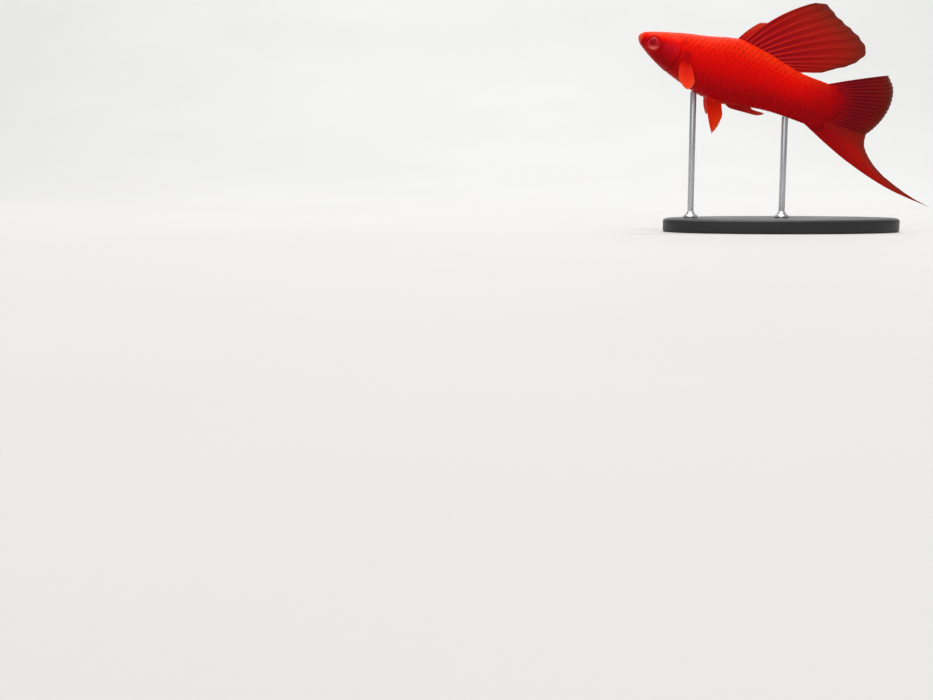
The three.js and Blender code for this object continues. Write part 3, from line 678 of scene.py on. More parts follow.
def pectoral(side):
    root, direction, across, spread, cup = PECTORAL_POSES[side]
    forward, across = unit(np.array(direction)), np.array(across)
    across = unit(across - (across @ forward) * forward)
    axes = np.array([across, forward, np.cross(forward, across)])

    def surface(share, t):
        s = 2 * share - 1
        out = t * PECTORAL_LENGTH * (1 - 0.34 * np.abs(s - 0.1) ** 1.6)
        sideways = s * (PECTORAL_HALF_ROOT + 0.25 * np.sin(pi * t**0.8)) + out * np.sin(s * spread)
        bulge = cup * t * t * (1 - 0.6 * s * s)
        return np.array(root) + stack(sideways, out * np.cos(s * spread), bulge) @ axes

    return surface


def pelvic(side):
    splay, ahead, forward = PELVIC_POSES[side]

    def surface(share, t):
        root = pelvic_root(share)
        flat = bowed(root, pelvic_tips(share), 0.13 * share - 0.08, t)
        x, drop = flat[..., 0], root[..., 1] - flat[..., 1]
        y = SIDES[side] * (PELVIC_BESIDE_MIDDLE + drop * math.sin(splay)) + swing(x)
        return stack(x - ahead - forward * t, y, root[..., 1] - drop * math.cos(splay))

    return surface


def surface_normal(surface, share, t):
    step = 0.004
    s0, s1 = np.clip(share - step, 0, 1), np.clip(share + step, 0, 1)
    t0, t1 = np.clip(t - step, 0.002, 1), np.clip(t + step, 0.002, 1)
    t_in = np.clip(t, 0.01, 0.99)
    return unit(np.cross(surface(share, t1) - surface(share, t0), surface(s1, t_in) - surface(s0, t_in)))


PLEAT = 0.08  # how far the skin between two rays bows out
COLUMNS_PER_GAP = 10
MEMBRANE_THICKNESS = 0.14
FORK_SPREAD, TWIG_SPREAD = 0.24, 0.13  # shares of the gap between two rays
PAD_ROWS = 30


def closed_sheet(name, surface, share, t, between, pleat, half, attributes):
    """A closed thin piece over a grid of places on a fin, pleated between the rays."""
    columns, rows = t.shape
    size = columns * rows
    normal = surface_normal(surface, share, t)
    middle = surface(share, t) + normal * (pleat * between**2 * smooth(t, 0.05, 0.3))[..., None]
    faces = np.stack([middle + normal * half[..., None], middle - normal * half[..., None]])
    top = grid_quads(columns, rows)
    edge = join([
        np.arange(rows), np.arange(1, columns) * rows + rows - 1,
        size - 2 - np.arange(rows - 1), (columns - 2 - np.arange(columns - 2)) * rows,
    ])
    after = np.roll(edge, -1)
    quads = join([top, (top + size)[:, ::-1], stack(edge, after, after + size, edge + size)])
    both = {key: np.tile(values.ravel(), 2) for key, values in attributes.items()}
    return make_piece(name, faces, quads, None, both)


def membrane_piece(name, surface, rays, random, rows=70, notch=0.03, pleat=PLEAT):
    """A thin closed sheet, scalloped between the ray tips and gently pleated between the rays."""
    columns = (rays - 1) * COLUMNS_PER_GAP + 1
    share = np.linspace(0, 1, columns)[:, None]
    between = np.abs(np.sin(share * (rays - 1) * pi))
    frayed = 0.35 * notch * (random.random((columns, 1)) - 0.5) * between
    t = np.linspace(0, 1, rows) * (1 - notch * between**1.3 + frayed)
    share, between = (np.broadcast_to(values, t.shape) for values in (share, between))
    half = 0.5 * MEMBRANE_THICKNESS * (1 - 0.55 * between**2) * (1 - 0.6 * smooth(t, 0.4, 1))
    attributes = {"out": t, "between": between, "share": share}
    return closed_sheet(name, surface, share, t, between, pleat, half, attributes)


def fin_rod(surface, share, t, width, height, sides=8):
    """A flattened tapering rod along a line on a fin's surface, closed at both ends."""
    centre = surface(share, t)
    normal = surface_normal(surface, share, t)
    across = unit(np.cross(normal, unit(np.gradient(centre, axis=0))))
    turn = full_turn(sides)[None, :, None]
    rings = centre[:, None] + across[:, None] * (np.cos(turn) * width[:, None, None])
    rings = rings + normal[:, None] * (np.sin(turn) * height[:, None, None])
    along = join([[0], np.cumsum(np.linalg.norm(np.diff(centre, axis=0), axis=1))])
    attributes = {
        key: join([np.repeat(values, sides), values[:1], values[-1:]])
        for key, values in (("out", t), ("along", along), ("share", share))
    }
    return *tube(rings, [centre[0], centre[-1]]), attributes


def rays_piece(
    name, surface, rays, random, width=0.13, fork=0.5, second_fork=0.78, plain=1, steps=60, notch=0.02,
    first=0,
):
    """Fin rays: each forks once or twice on its way out, but for the first few, which stay plain."""
    rods = []
    gap = 1 / (rays - 1)

    def rod(path, start, end, thick):
        margin = 0.988 - notch * abs(math.sin(float(path(1.0)) * (rays - 1) * pi)) ** 1.3
        end = min(end, margin)
        t = np.linspace(start, end, max(8, int(steps * (end - start))))
        taper = (1 - 0.68 * t) * thick * (1 - 0.85 * smooth(t, end - 0.06, end))
        share = np.clip(path(t), 0, 1)
        rods.append(fin_rod(surface, share, t, np.maximum(taper, 0.02), np.maximum(taper * 0.95, 0.035)))

    for i in range(first, rays):
        home = i * gap
        end = 1.0 - 0.01 * random.random()
        if i < plain:
            rod(lambda t: home + 0 * t, 0.0, end, width * 1.25)
            continue
        split = fork + 0.06 * (random.random() - 0.5)
        again = second_fork + 0.05 * (random.random() - 0.5)
        rod(lambda t: home + 0 * t, 0.0, split + 0.05, width)
        for sign in [1] if i == 0 else [-1] if i == rays - 1 else [-1, 1]:
            branch = lambda t: home + sign * gap * FORK_SPREAD * smooth(t, split - 0.03, 1.1)
            rod(branch, split - 0.04, min(again + 0.05, end), width * 0.9)
            if again < end:
                for turn in (-1, 1):
                    twig = lambda t: branch(t) + turn * gap * TWIG_SPREAD * smooth(t, again - 0.02, 1.1)
                    rod(twig, again - 0.03, end, width * 0.8)
    return joined_piece(name, rods)


def pad_half(share, t, length, thickness, rays):
    """Half the thickness of a fin's fleshy base, which thins out and reaches furthest along the rays."""
    side = 2 * share - 1
    reach = length * (1 - 0.3 * side**2) * (1 + 0.04 * np.cos(2 * pi * (rays - 1) * share))
    fade = (1 - smooth(t / reach, 0, 1)) * (0.65 + 0.35 * smooth(t, 0, 0.06))
    return 0.5 * thickness * fade * np.sqrt(np.clip(1 - side**4, 0.02, 1)) + 0.012


def pad_around(share, level=0.0):
    return np.clip(level + 0.7 * (1 - 2 * share), -0.8, 0.8)


def pad_piece(name, surface, length, thickness, rays, level=0.0, pleat=PLEAT):
    across = np.linspace(0, 1, 8 * (rays - 1) + 1)
    share, t = np.meshgrid(across, np.linspace(0, length, PAD_ROWS), indexing="ij")
    half = pad_half(share, t, length, thickness, rays)
    between = np.abs(np.sin(share * (rays - 1) * pi))
    attributes = {"around": pad_around(share, level), "out": t / length}
    return closed_sheet(name, surface, share, t, between, pleat, half, attributes)


def pad_scales_piece(name, random, surface, length, thickness, rays, rows, pitch):
    """Small scales over both sides of a fin's fleshy base."""
    places = []
    for row in range(2 * rows):
        share = 0.06 + 0.88 * (row % rows + 0.5) / rows
        reach = length * (0.8 - 0.3 * (2 * share - 1) ** 2)
        first = 0.07 + 0.5 * pitch * (row % 2)
        places += [(tip, share + 2 * (row >= rows)) for tip in np.arange(first, reach, pitch)]

    def coat(t, row):
        over = row > 1.5
        share = np.clip(row - 2 * over, 0, 1)
        t = np.maximum(t, 0)
        normal = surface_normal(surface, share, t) * np.where(over, 1, -1)[..., None]
        half = pad_half(share, t, length, thickness, rays)
        return surface(share, t) + normal * half[..., None], normal, 0.5 + 0 * t, pad_around(share)

    def unwrapped(t, row):
        return 0.97 + 0.08 * t, np.clip(0.25 * row + 0.05, 0, 1)

    return plates_piece(name, np.array(places), 1.8 * pitch, 0.52 / rows, coat, unwrapped, random, lift=0.06)


def gonopodium_piece():
    """The male's anal fin: a slender rod of a few close rays, in short joints."""
    top = curve([(29.8, -8.3), (31, -7.8), (36, -6.9), (38.2, -7.6), (41.6, -7.35)])
    bottom = curve([(29.8, -8.8), (31.6, -9.5), (36.4, -9.1), (39.6, -8.75), (41.6, -7.75)])
    half_width = curve([(29.8, 0.5), (34, 0.5), (41.6, 0.3)])
    start, end, end_gap = 29.95, 41.5, 0.05
    x, angle = np.meshgrid(np.linspace(start, end, 130), full_turn(40), indexing="ij")
    ridges = 0.045 * np.cos(7 * angle) * smooth(x, 30.5, 32)
    joints = -0.02 * bell((x / 0.62 + 0.5) % 1 - 0.5, 0.12) * smooth(x, 32, 34)
    closing = np.sqrt(np.clip(1 - smooth(x, 40.6, 41.7) ** 2, 0.02, 1))
    grow = (1 + (ridges + joints) / 0.45) * closing - 0.06
    y = swing(x) + half_width(x) * np.cos(angle) * grow
    z = (top(x) + bottom(x)) / 2 + (top(x) - bottom(x)) / 2 * np.sin(angle) * grow
    ends = [[e, swing(e), (top(e) + bottom(e)) / 2] for e in (start - end_gap, end + end_gap)]
    out = np.append(((x - start) / (end - start)).ravel(), [0, 1])
    attributes = {"out": out, "along": out * (end - start), "share": 0 * out}
    return make_piece("gonopodium_shaft", *tube(stack(x, y, z), ends), attributes)


# Materials


class Value:
    """What a node puts out, ready for sums."""

    def __init__(self, finish, socket):
        self.finish, self.socket = finish, socket

    def __add__(self, other):
        return self.finish.math("ADD", self, other)

    def __sub__(self, other):
        return self.finish.math("SUBTRACT", self, other)

    def __mul__(self, other):
        return self.finish.math("MULTIPLY", self, other)

    def __pow__(self, other):
        return self.finish.math("POWER", self, other)

    def rise(self, low, high, least=0.0, most=1.0):
        """An even change from least where the value is low to most where it is high."""
        inputs = {0: self, 1: low, 2: high, 3: least, 4: most}
        return self.finish.new("MapRange", inputs, interpolation_type="SMOOTHSTEP")

    def fall(self, low, high):
        return self.rise(low, high, 1.0, 0.0)

    def wave(self, pitch):
        """A ridge from 0 to 1 for every pitch of the value."""
        return self.finish.math("SINE", self * (2 * pi / pitch)).rise(-1.0, 1.0)


class Finish:
    """A material's node tree, with short calls for the nodes that the finishes share."""

    def __init__(self, name, **surface):
        self.material = bpy.data.materials.new(name)
        self.material.use_nodes = True
        self.tree = self.material.node_tree
        self.surface = self.tree.nodes["Principled BSDF"]
        self.set(**surface)
        self.object_place = self.new("TexCoord", output="Object")
        shift, turn = tuple(-(TURN.T @ ORIGIN)), (0, -NOSE_UP, 0)
        to_fish = {"Vector": self.object_place, "Location": shift, "Rotation": turn, "Scale": (1 / MM,) * 3}
        self.place = self.new("Mapping", to_fish)  # the point in the fish's frame, in millimetres
        self.x, self.z = (self.new("SeparateXYZ", {0: self.place}, axis) for axis in "XZ")
        self.flat = self.new("CombineXYZ", {"X": self.x, "Z": self.z})

    def new(self, kind, inputs=(), output=0, **settings):
        node = self.tree.nodes.new("ShaderNode" + kind)
        for key, value in settings.items():
            setattr(node, key, value)
        for key, value in dict(inputs).items():
            self.feed(node.inputs[key], value)
        return Value(self, node.outputs[output])

    def feed(self, socket, value):
        if isinstance(value, Value):
            self.tree.links.new(value.socket, socket)
        elif socket.type == "RGBA" and len(value) == 3:
            socket.default_value = (*value, 1)
        else:
            socket.default_value = value

    def set(self, **inputs):
        for key, value in inputs.items():
            self.feed(self.surface.inputs[key.replace("_", " ")], value)

    def attribute(self, name):
        return self.new("Attribute", attribute_name=name, output=2)

    def math(self, operation, a, b=0.0, clamp=False):
        return self.new("Math", {0: a, 1: b}, operation=operation, use_clamp=clamp)

    def away(self, px, pz):
        """Distance in the x-z plane from a place."""
        return self.new("VectorMath", {0: self.flat, 1: (px, 0, pz)}, output=1, operation="DISTANCE")

    def mix(self, share, a, b, blend="MIX"):
        inputs = {0: share, 6: a, 7: b}  # the places of a Mix node's colours, which share their names
        return self.new("Mix", inputs, output=2, data_type="RGBA", blend_type=blend, clamp_factor=True)

    def ramp(self, value, stops):
        node = self.tree.nodes.new("ShaderNodeValToRGB")
        self.feed(node.inputs[0], value)
        elements = node.color_ramp.elements
        while len(elements) < len(stops):
            elements.new(0.5)
        for element, (position, colour) in zip(elements, stops):
            element.position = position
            element.color = (*colour, 1)
        return Value(self, node.outputs[0])

    def noise(self, scale, detail=3.0, roughness=0.55, where=None):
        inputs = {"Vector": where or self.place, "Scale": scale, "Detail": detail, "Roughness": roughness}
        return self.new("TexNoise", inputs)

    def cells(self, scale):
        """Distance from the nearest of many scattered points."""
        return self.new("TexVoronoi", {"Vector": self.place, "Scale": scale})

    def bump(self, height, distance, strength=1.0):
        """Relief of a given depth in millimetres."""
        inputs = {"Strength": strength, "Distance": distance * MM, "Height": height}
        self.set(Normal=self.new("Bump", inputs))


ORANGE = (0.95, 0.03, 0.003)
BRIGHT_RED = (0.98, 0.006, 0.002)
RED = (0.78, 0.0015, 0.003)
CRIMSON = (0.44, 0.0012, 0.005)
DEEP_CRIMSON = (0.26, 0.0015, 0.005)
# Painted shade in the head's creases, pits and gill slit.
CREASE_SHADE_RED = (0.2, 0.002, 0.006)
BROWN_RED = (0.2, 0.024, 0.012)
PALE_PINK = (0.62, 0.06, 0.04)
LIP_ORANGE = (0.95, 0.1, 0.035)
# Painted shade between the fin rays.
RAY_GAP_SHADE = (0.13, 0.002, 0.01)
WET_TINT = (1, 0.35, 0.22, 1)  # red light returned from just under the wet surface
WET = {"Specular_IOR_Level": 0.09, "Specular_Tint": WET_TINT}


def markings(finish):
    """The fish's colours, the same on the skin and on the scales: from orange-red back to crimson flank,
    partly the fish's own colour and partly painted light from above and painted shade below, with painted
    shade in its pits, around the eye and above the pectoral fin and painted light on the crown.
    """
    x, z, around = finish.x, finish.z, finish.attribute("around")
    # Height from belly to back: the ramp makes the back orange-red and the flank crimson, partly the fish's
    # own colour and partly painted light from above and painted shade below.
    height = (around + 1.0) * 0.5 + (finish.noise(0.35, 3) * 0.1 - 0.05) - x.rise(14.0, 60.0, 0.0, 0.1)
    colour = finish.ramp(height, [(0.15, CRIMSON), (0.45, RED), (0.7, BRIGHT_RED), (0.9, ORANGE)])

    def spot(px, pz, inner, outer, share):
        return finish.away(px, pz).fall(inner, outer) * share

    speckle = finish.cells(1.7).fall(0.14, 0.3) * (z.rise(1.0, 3.5) * 0.35)
    marks = [
        (around.rise(-0.9, -1.0) * x.rise(46.0, 36.0) * 0.3, PALE_PINK),  # keel
        (spot(9.0, -3.6, 2.0, 5.5, 0.45), DEEP_CRIMSON),  # cheek
        # Painted shade in the hollow above the pectoral fin.
        (spot(14.3, -1.2, 0.6, 2.4, 0.6), DEEP_CRIMSON),  # above the pectoral fin
        (spot(12.6, 2.5, 0.3, 1.0, 0.4), CRIMSON),  # shoulder
        # Crown: orange, partly the fish's own colour and partly painted light from above.
        (z.rise(1.2, 2.8) * x.rise(14.0, 4.0) * 0.35, (0.95, 0.05, 0.01)),  # crown
        # Painted shade round the eye's socket: behind the eye, before it and over the temple.
        (spot(7.2, -0.3, 0.6, 1.9, 0.35), (0.3, 0.002, 0.012)),  # behind the eye
        (spot(2.2, -0.9, 0.5, 1.8, 0.3), (0.4, 0.003, 0.012)),  # before the eye
        (spot(9.6, -0.2, 0.5, 3.2, 0.4), (0.5, 0.006, 0.03)),  # temple
        (x.rise(1.5, 0.4, 0.0, 0.85), LIP_ORANGE),
        (x.rise(44.0, 66.0, 0.0, 0.95), DEEP_CRIMSON),  # stalk
        # Painted shade in the nostrils and pores, stronger where the pit is deeper.
        *((spot(*pit, 0.4 * size, 1.5 * size, 3 * depth), CREASE_SHADE_RED) for pit, depth, size in PITS.values()),
        (speckle, CRIMSON),
    ]
    for share, mark in marks:
        colour = finish.mix(share, colour, mark)
    grain = finish.ramp(finish.noise(3.2, 4, 0.65), [(0.25, (0.5, 0.45, 0.45)), (0.75, (1, 1, 1))])
    return finish.mix(0.3, colour, grain, "MULTIPLY")


def skin_material():
    finish = Finish("wet skin", Roughness=0.42, Subsurface_Weight=0.06, Subsurface_Scale=0.0006, **WET)
    # Painted shade in the head's folds, pits and gill slit, which the fold attribute carries.
    crease_shade = finish.attribute("fold").rise(-0.2, -0.02, 0.75, 0.0)
    fine, pores = finish.noise(5.0, 5, 0.6), finish.cells(3.4).rise(0.0, 0.35)
    finish.set(Base_Color=finish.mix(crease_shade, markings(finish), CREASE_SHADE_RED))
    finish.set(Roughness=fine.rise(0.3, 0.7, 0.34, 0.52))
    finish.bump(fine + pores * 0.6, 0.05, 0.55)
    return finish.material


def fin_base_material(name, colour_out):
    """Skin that runs out onto a fin and takes on its colour."""
    finish = Finish(name, Roughness=0.42, **WET)
    fine = finish.noise(5.0, 5, 0.6)
    finish.set(Base_Color=finish.mix(finish.attribute("out").rise(0.1, 0.75), markings(finish), colour_out))
    finish.set(Roughness=fine.rise(0.3, 0.7, 0.34, 0.52))
    finish.bump(fine, 0.05, 0.5)
    return finish.material


def scale_material():
    finish = Finish("scales", Roughness=0.38, Subsurface_Weight=0.05, Subsurface_Scale=0.0005, **WET)
    lengthwise, crosswise, tint = (finish.attribute(n) for n in ("lengthwise", "crosswise", "tint"))
    aside = finish.math("ABSOLUTE", crosswise)
    # Painted shadow under the rear edge of the scale in front: a darker patch across each scale's middle, on
    # the upper flank.
    spot = aside.fall(0.15, 0.85) * lengthwise.rise(0.34, 0.5) * lengthwise.fall(0.62, 0.84)
    upper = finish.attribute("around").rise(-0.2, 0.6, 0.05, 0.42) * finish.attribute("marked")
    colour = finish.mix(spot * upper * tint.rise(0, 1, 0.4, 1.2), markings(finish), CRIMSON)
    colour = finish.mix(lengthwise.rise(0.86, 0.97, 0.0, 0.1), colour, (0.97, 0.03, 0.008))
    finish.set(Base_Color=finish.mix(tint.rise(0, 1, 0.0, 0.12), colour, RED))
    from_focus = finish.math("SQRT", (lengthwise - 0.45) ** 2.0 + crosswise**2.0 * 0.3)
    radii = crosswise.wave(0.22) * lengthwise.rise(0.75, 1.0, 0.0, 0.8)
    fine = finish.noise(6.0, 3)
    finish.bump(from_focus.wave(0.045) * 0.45 + (radii + fine), 0.01, 0.4)
    finish.set(Roughness=fine.rise(0.3, 0.7, 0.32, 0.46))
    return finish.material


def eye_material():
    """Iris: crimson above, with a painted highlight below the pupil as a pale pink crescent, and
    skin-coloured at its edge.
    """
    finish = Finish("eye", Roughness=0.4, Specular_IOR_Level=0.05, Coat_Weight=0.08, Coat_Roughness=0.08)
    streaks = finish.noise(2.2, 4, 0.7)
    wobble = streaks.rise(0.2, 0.8, -0.03, 0.03)
    places = (EYE_PLACE, PUPIL_PLACE)
    share, from_pupil = (finish.away(*place) * (1 / EYE_RADIUS) + wobble for place in places)
    colour = finish.ramp(share, [
        (0.0, (0.46, 0.006, 0.012)), (0.6, (0.5, 0.01, 0.018)), (0.78, (0.58, 0.018, 0.02)),
        (0.87, (0.42, 0.004, 0.008)), (0.95, (0.6, 0.012, 0.008)),
    ])
    below = (finish.z + finish.x * -0.3).rise(-2.6, -3.4)
    dapple = finish.cells(2.8)
    for part, mark in (
        # Painted highlight: the pale pink crescent below the pupil.
        (from_pupil.rise(0.48, 0.56) * share.rise(0.86, 0.76) * below, (0.92, 0.15, 0.12)),  # crescent
        (from_pupil.rise(0.44, 0.49) * from_pupil.rise(0.56, 0.5) * 0.4, (0.6, 0.03, 0.03)),  # pupil's rim
        (from_pupil.rise(0.47, 0.43), (0.25, 0.001, 0.004)),  # pupil
        (dapple.rise(0.1, 0.5) * 0.25, (0.4, 0.006, 0.012)),
    ):
        colour = finish.mix(part, colour, mark)
    finish.set(Base_Color=colour)
    finish.bump(streaks + dapple, 0.03, 0.4)
    return finish.material


def lens_material():
    finish = Finish("eye lens", Roughness=0.25, Specular_IOR_Level=0.04, Coat_Weight=0.1, Coat_Roughness=0.05)
    cloud = finish.noise(1.6, 3)
    finish.set(Base_Color=finish.ramp(cloud, [(0.3, (0.24, 0.001, 0.004)), (0.75, (0.36, 0.002, 0.006))]))
    finish.bump(cloud, 0.01, 0.2)
    return finish.material


def membrane_material(
    name, stops, least_alpha=0.85, dark=0.85, dark_rise=(-0.2, -0.1), dark_fall=(0.3, 0.75), first=None
):
    """Skin between the rays: its colour runs from root to margin, where it turns see-through, with painted
    shade in the middle of each gap between two rays.
    Where a first colour is given, the fin starts in it at its first ray."""
    finish = Finish(name, Roughness=0.45, Specular_IOR_Level=0.12, Specular_Tint=WET_TINT)
    out, between = finish.attribute("out"), finish.attribute("between")
    shifted = out + finish.noise(1.1, 4, 0.6).rise(0.2, 0.8, -0.03, 0.03)
    # Painted shade in the middle of each gap between two rays, where the membrane lies recessed, over part of
    # the fin's length.
    gap = between.rise(0.3, 0.95) * shifted.rise(*dark_fall, dark, 0.1) * shifted.rise(*dark_rise)
    colour = finish.mix(gap, finish.ramp(shifted, stops), RAY_GAP_SHADE)
    if first:
        colour = finish.mix(finish.attribute("share").rise(0.0, 0.45, 0.85, 0.0), colour, first)
    fleck = finish.cells(2.4).rise(0.05, 0.4, 0.16, 0.0)
    finish.set(Base_Color=finish.mix(fleck, colour, (0.2, 0.004, 0.008)))
    edge_tone, beside_ray = shifted.rise(0.9, 1.0, 1.0, least_alpha), between.rise(0.0, 0.5, 0.12, 0.0)
    finish.set(Alpha=finish.math("ADD", edge_tone, beside_ray, clamp=True))
    wrinkle = finish.noise(2.6, 4, 0.6)
    finish.bump(wrinkle, 0.05, 0.5)
    finish.set(Roughness=wrinkle.rise(0.3, 0.7, 0.32, 0.5))
    return finish.material


def ray_material(name, stops, least_alpha=0.6, first=None):
    """Bony rays in short segments, bright at the root and paler at the tip."""
    finish = Finish(name, Roughness=0.42, Specular_IOR_Level=0.15, Specular_Tint=WET_TINT)
    out, shade = finish.attribute("out"), finish.noise(1.4, 3)
    colour = finish.ramp(out + shade.rise(0.2, 0.8, -0.04, 0.04), stops)
    if first:
        colour = finish.mix(finish.attribute("share").rise(0.0, 0.45, 0.8, 0.0), colour, first)
    joint = finish.attribute("along").wave(0.55).rise(0.86, 0.97) * out.rise(0.15, 0.3)
    finish.set(Base_Color=finish.mix(joint * 0.22, colour, DEEP_CRIMSON))
    finish.set(Alpha=out.rise(0.88, 1.0, 1.0, least_alpha))
    finish.bump(shade - joint * 0.8, 0.04, 0.6)
    return finish.material


def base_material():
    """Dark satin moulding with a fine grain and faintly lighter rounded edges."""
    finish = Finish("satin base", Roughness=0.45, Specular_IOR_Level=0.4)
    fine, broad = finish.noise(4.5, 5, 0.65), finish.noise(0.12, 3)
    colour = finish.ramp(fine, [(0.3, (0.014, 0.0145, 0.016)), (0.7, (0.022, 0.0225, 0.024))])
    edge = finish.attribute("edge").rise(0.2, 1.0, 0.0, 0.5)
    finish.set(Base_Color=finish.mix(edge, colour, (0.06, 0.062, 0.066)))
    finish.set(Roughness=fine.rise(0.3, 0.7, 0.36, 0.5) + broad.rise(0.3, 0.7, -0.05, 0.05))
    finish.bump(fine, 0.03, 0.35)
    return finish.material


def steel_material():
    """Steel with a grain drawn out along the rods."""
    finish = Finish("brushed steel", Metallic=1.0, Roughness=0.3)
    brushed = finish.new("Mapping", {"Vector": finish.object_place, "Scale": (14000.0, 14000.0, 900.0)})
    grain, spots = finish.noise(1.0, 4, 0.6, brushed), finish.noise(0.5, 2)
    finish.set(Base_Color=finish.ramp(grain, [(0.25, (0.56, 0.57, 0.59)), (0.75, (0.66, 0.67, 0.69))]))
    finish.set(Roughness=grain.rise(0.2, 0.8, 0.22, 0.38) + spots.rise(0.3, 0.7, -0.03, 0.04))
    finish.bump(grain, 0.005, 0.35)
    return finish.material


def floor_material():
    finish = Finish("pale floor", Roughness=0.7, Specular_IOR_Level=0.2)
    tone = finish.noise(6.0, 3, where=finish.object_place)
    finish.set(Base_Color=finish.ramp(tone, [(0.3, (0.5, 0.5, 0.495)), (0.7, (0.52, 0.52, 0.515))]))
    return finish.material


def dress(piece, material, slot, *nodes):
    """Gives a piece its finish, hides the solids it stands for and hangs it on the body it rides on."""
    piece.data.materials.append(material)
    if nodes:
        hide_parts(*nodes)
    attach(piece, "root")


# Build the fish

SEED = 26
random = np.random.default_rng(SEED)
dress(skin_piece(), skin_material(), "skin", "head", "trunk", "tail_stalk")
scales = scale_material()
for side in SIDES:
    dress(scales_piece(side, random), scales, "skin")

eye, lens = eye_material(), lens_material()
for side in SIDES:
    ball = eye_dome(
        f"eye_{side}_ball", side, EYE_PLACE, EYE_RADIUS * EYE_BALL_SHARE, EYE_DOME, EYE_RIM, rings=30
    )
    dress(ball, eye, "eye", f"eye_{side}")
    pupil = eye_dome(
        f"eye_{side}_lens", side, PUPIL_PLACE, EYE_RADIUS * LENS_SHARE, LENS_DEPTH,
        EYE_RIM + EYE_DOME * LENS_LEVEL, rings=14, ball=1.3, back=1.0,
    )
    dress(pupil, lens, "eye")

dorsal_skin = membrane_material("dorsal membrane", [
    (0.0, (0.4, 0.004, 0.01)), (0.35, (0.46, 0.006, 0.007)), (0.75, (0.38, 0.011, 0.007)), (1.0, BROWN_RED),
], dark=0.42)
lobe_skin = membrane_material("dorsal lobe membrane", [
    (0.0, (0.5, 0.006, 0.008)), (0.5, (0.7, 0.02, 0.006)), (1.0, (0.74, 0.05, 0.014)),
], dark_fall=(0.0, 0.5))
tail_skin = membrane_material("tail membrane", [
    (0.0, (0.36, 0.002, 0.006)), (0.25, (0.3, 0.002, 0.006)), (0.5, (0.16, 0.002, 0.006)),
    (0.8, (0.15, 0.005, 0.006)), (1.0, (0.16, 0.02, 0.01)),
], least_alpha=0.75, dark_rise=(0.18, 0.42), dark_fall=(0.5, 1.0))
sword_skin = membrane_material("sword membrane", [
    (0.0, (0.34, 0.002, 0.006)), (0.25, (0.48, 0.003, 0.003)), (0.75, (0.46, 0.008, 0.005)),
    (1.0, (0.24, 0.03, 0.014)),
], dark=0.6, dark_fall=(0.2, 0.8), first=(0.23, 0.009, 0.007))
orange_skin = membrane_material("paired fin membrane", [
    (0.0, (0.66, 0.005, 0.003)), (0.5, (0.74, 0.012, 0.002)), (0.85, (0.76, 0.03, 0.003)),
    (1.0, (0.7, 0.08, 0.02)),
], dark=0.4, dark_fall=(0.1, 0.6))
fin_rays = ray_material("fin rays", [
    (0.0, (0.6, 0.014, 0.012)), (0.4, (0.55, 0.012, 0.009)), (0.8, (0.46, 0.018, 0.009)),
    (1.0, (0.34, 0.03, 0.016)),
])
tail_rays = ray_material("tail rays", [
    (0.0, (0.34, 0.002, 0.006)), (0.3, (0.28, 0.002, 0.006)), (0.8, (0.24, 0.007, 0.006)),
    (1.0, (0.18, 0.02, 0.012)),
])
sword_rays = ray_material("sword rays", [
    (0.0, (0.36, 0.002, 0.005)), (0.3, (0.5, 0.004, 0.004)), (0.8, (0.5, 0.015, 0.006)),
    (1.0, (0.22, 0.03, 0.016)),
], 0.85, first=(0.32, 0.012, 0.008))
orange_rays = ray_material("paired fin rays", [
    (0.0, (0.76, 0.01, 0.003)), (0.5, (0.86, 0.03, 0.002)), (0.85, (0.86, 0.05, 0.005)),
    (1.0, (0.8, 0.12, 0.03)),
], 0.8)
gonopodium_skin = ray_material("gonopodium", [
    (0.0, (0.4, 0.003, 0.005)), (0.4, (0.34, 0.004, 0.006)), (0.8, (0.5, 0.02, 0.01)),
    (1.0, (0.62, 0.06, 0.03)),
], 1.0)

PAIRED = {  # rays, width of a ray, and the fleshy base's length and thickness
    "pectoral": (pectoral, PECTORAL_RAYS, 0.075, 0.3, 1.5),
    "pelvic": (pelvic, PELVIC_RAYS, 0.12, 0.24, 0.8),
}
PAIRED_PLEAT = 0.03
fins = [
    ("dorsal_fan", dorsal_fan, DORSAL_RAYS, "fin", ["dorsal_fin"], dorsal_skin, {"notch": 0.01},
     fin_rays, {"fork": 0.4, "second_fork": 0.7, "steps": 70, "width": 0.2, "notch": 0.01}),
    ("dorsal_lobe", dorsal_lobe, LOBE_RAYS, "fin", [], lobe_skin, {"rows": 40},
     fin_rays, {"plain": LOBE_RAYS}),
    ("tail_fan", tail_fan, TAIL_RAYS, "fin", ["tail_fan"], tail_skin, {"notch": 0.008},
     tail_rays, {"fork": 0.3, "second_fork": 0.6, "width": 0.15, "notch": 0.008}),
    ("sword", sword, SWORD_RAYS, "sword", ["tail_sword"],
     sword_skin, {"notch": 0.004, "rows": 150, "pleat": 0.04},
     sword_rays, {"plain": SWORD_RAYS, "steps": 160, "width": 0.14, "first": 1}),
]
for side in SIDES:
    for kind, (shape, rays, width, length, thickness) in PAIRED.items():
        name = f"{kind}_fin_{side}"
        fins.append((
            name, shape(side), rays, "paired_fin", [name],
            orange_skin, {"notch": 0.014, "rows": 50, "pleat": PAIRED_PLEAT},
            orange_rays, {"fork": 0.45, "second_fork": 0.75, "width": width, "notch": 0.014},
        ))
for name, surface, rays, slot, nodes, material, options, *rest in fins:
    dress(membrane_piece(f"{name}_membrane", surface, rays, random, **options), material, slot, *nodes)
for name, surface, rays, slot, *rest, material, options in fins:
    dress(rays_piece(f"{name}_rays", surface, rays, random, **options), material, slot)
dress(gonopodium_piece(), gonopodium_skin, "paired_fin", "gonopodium")

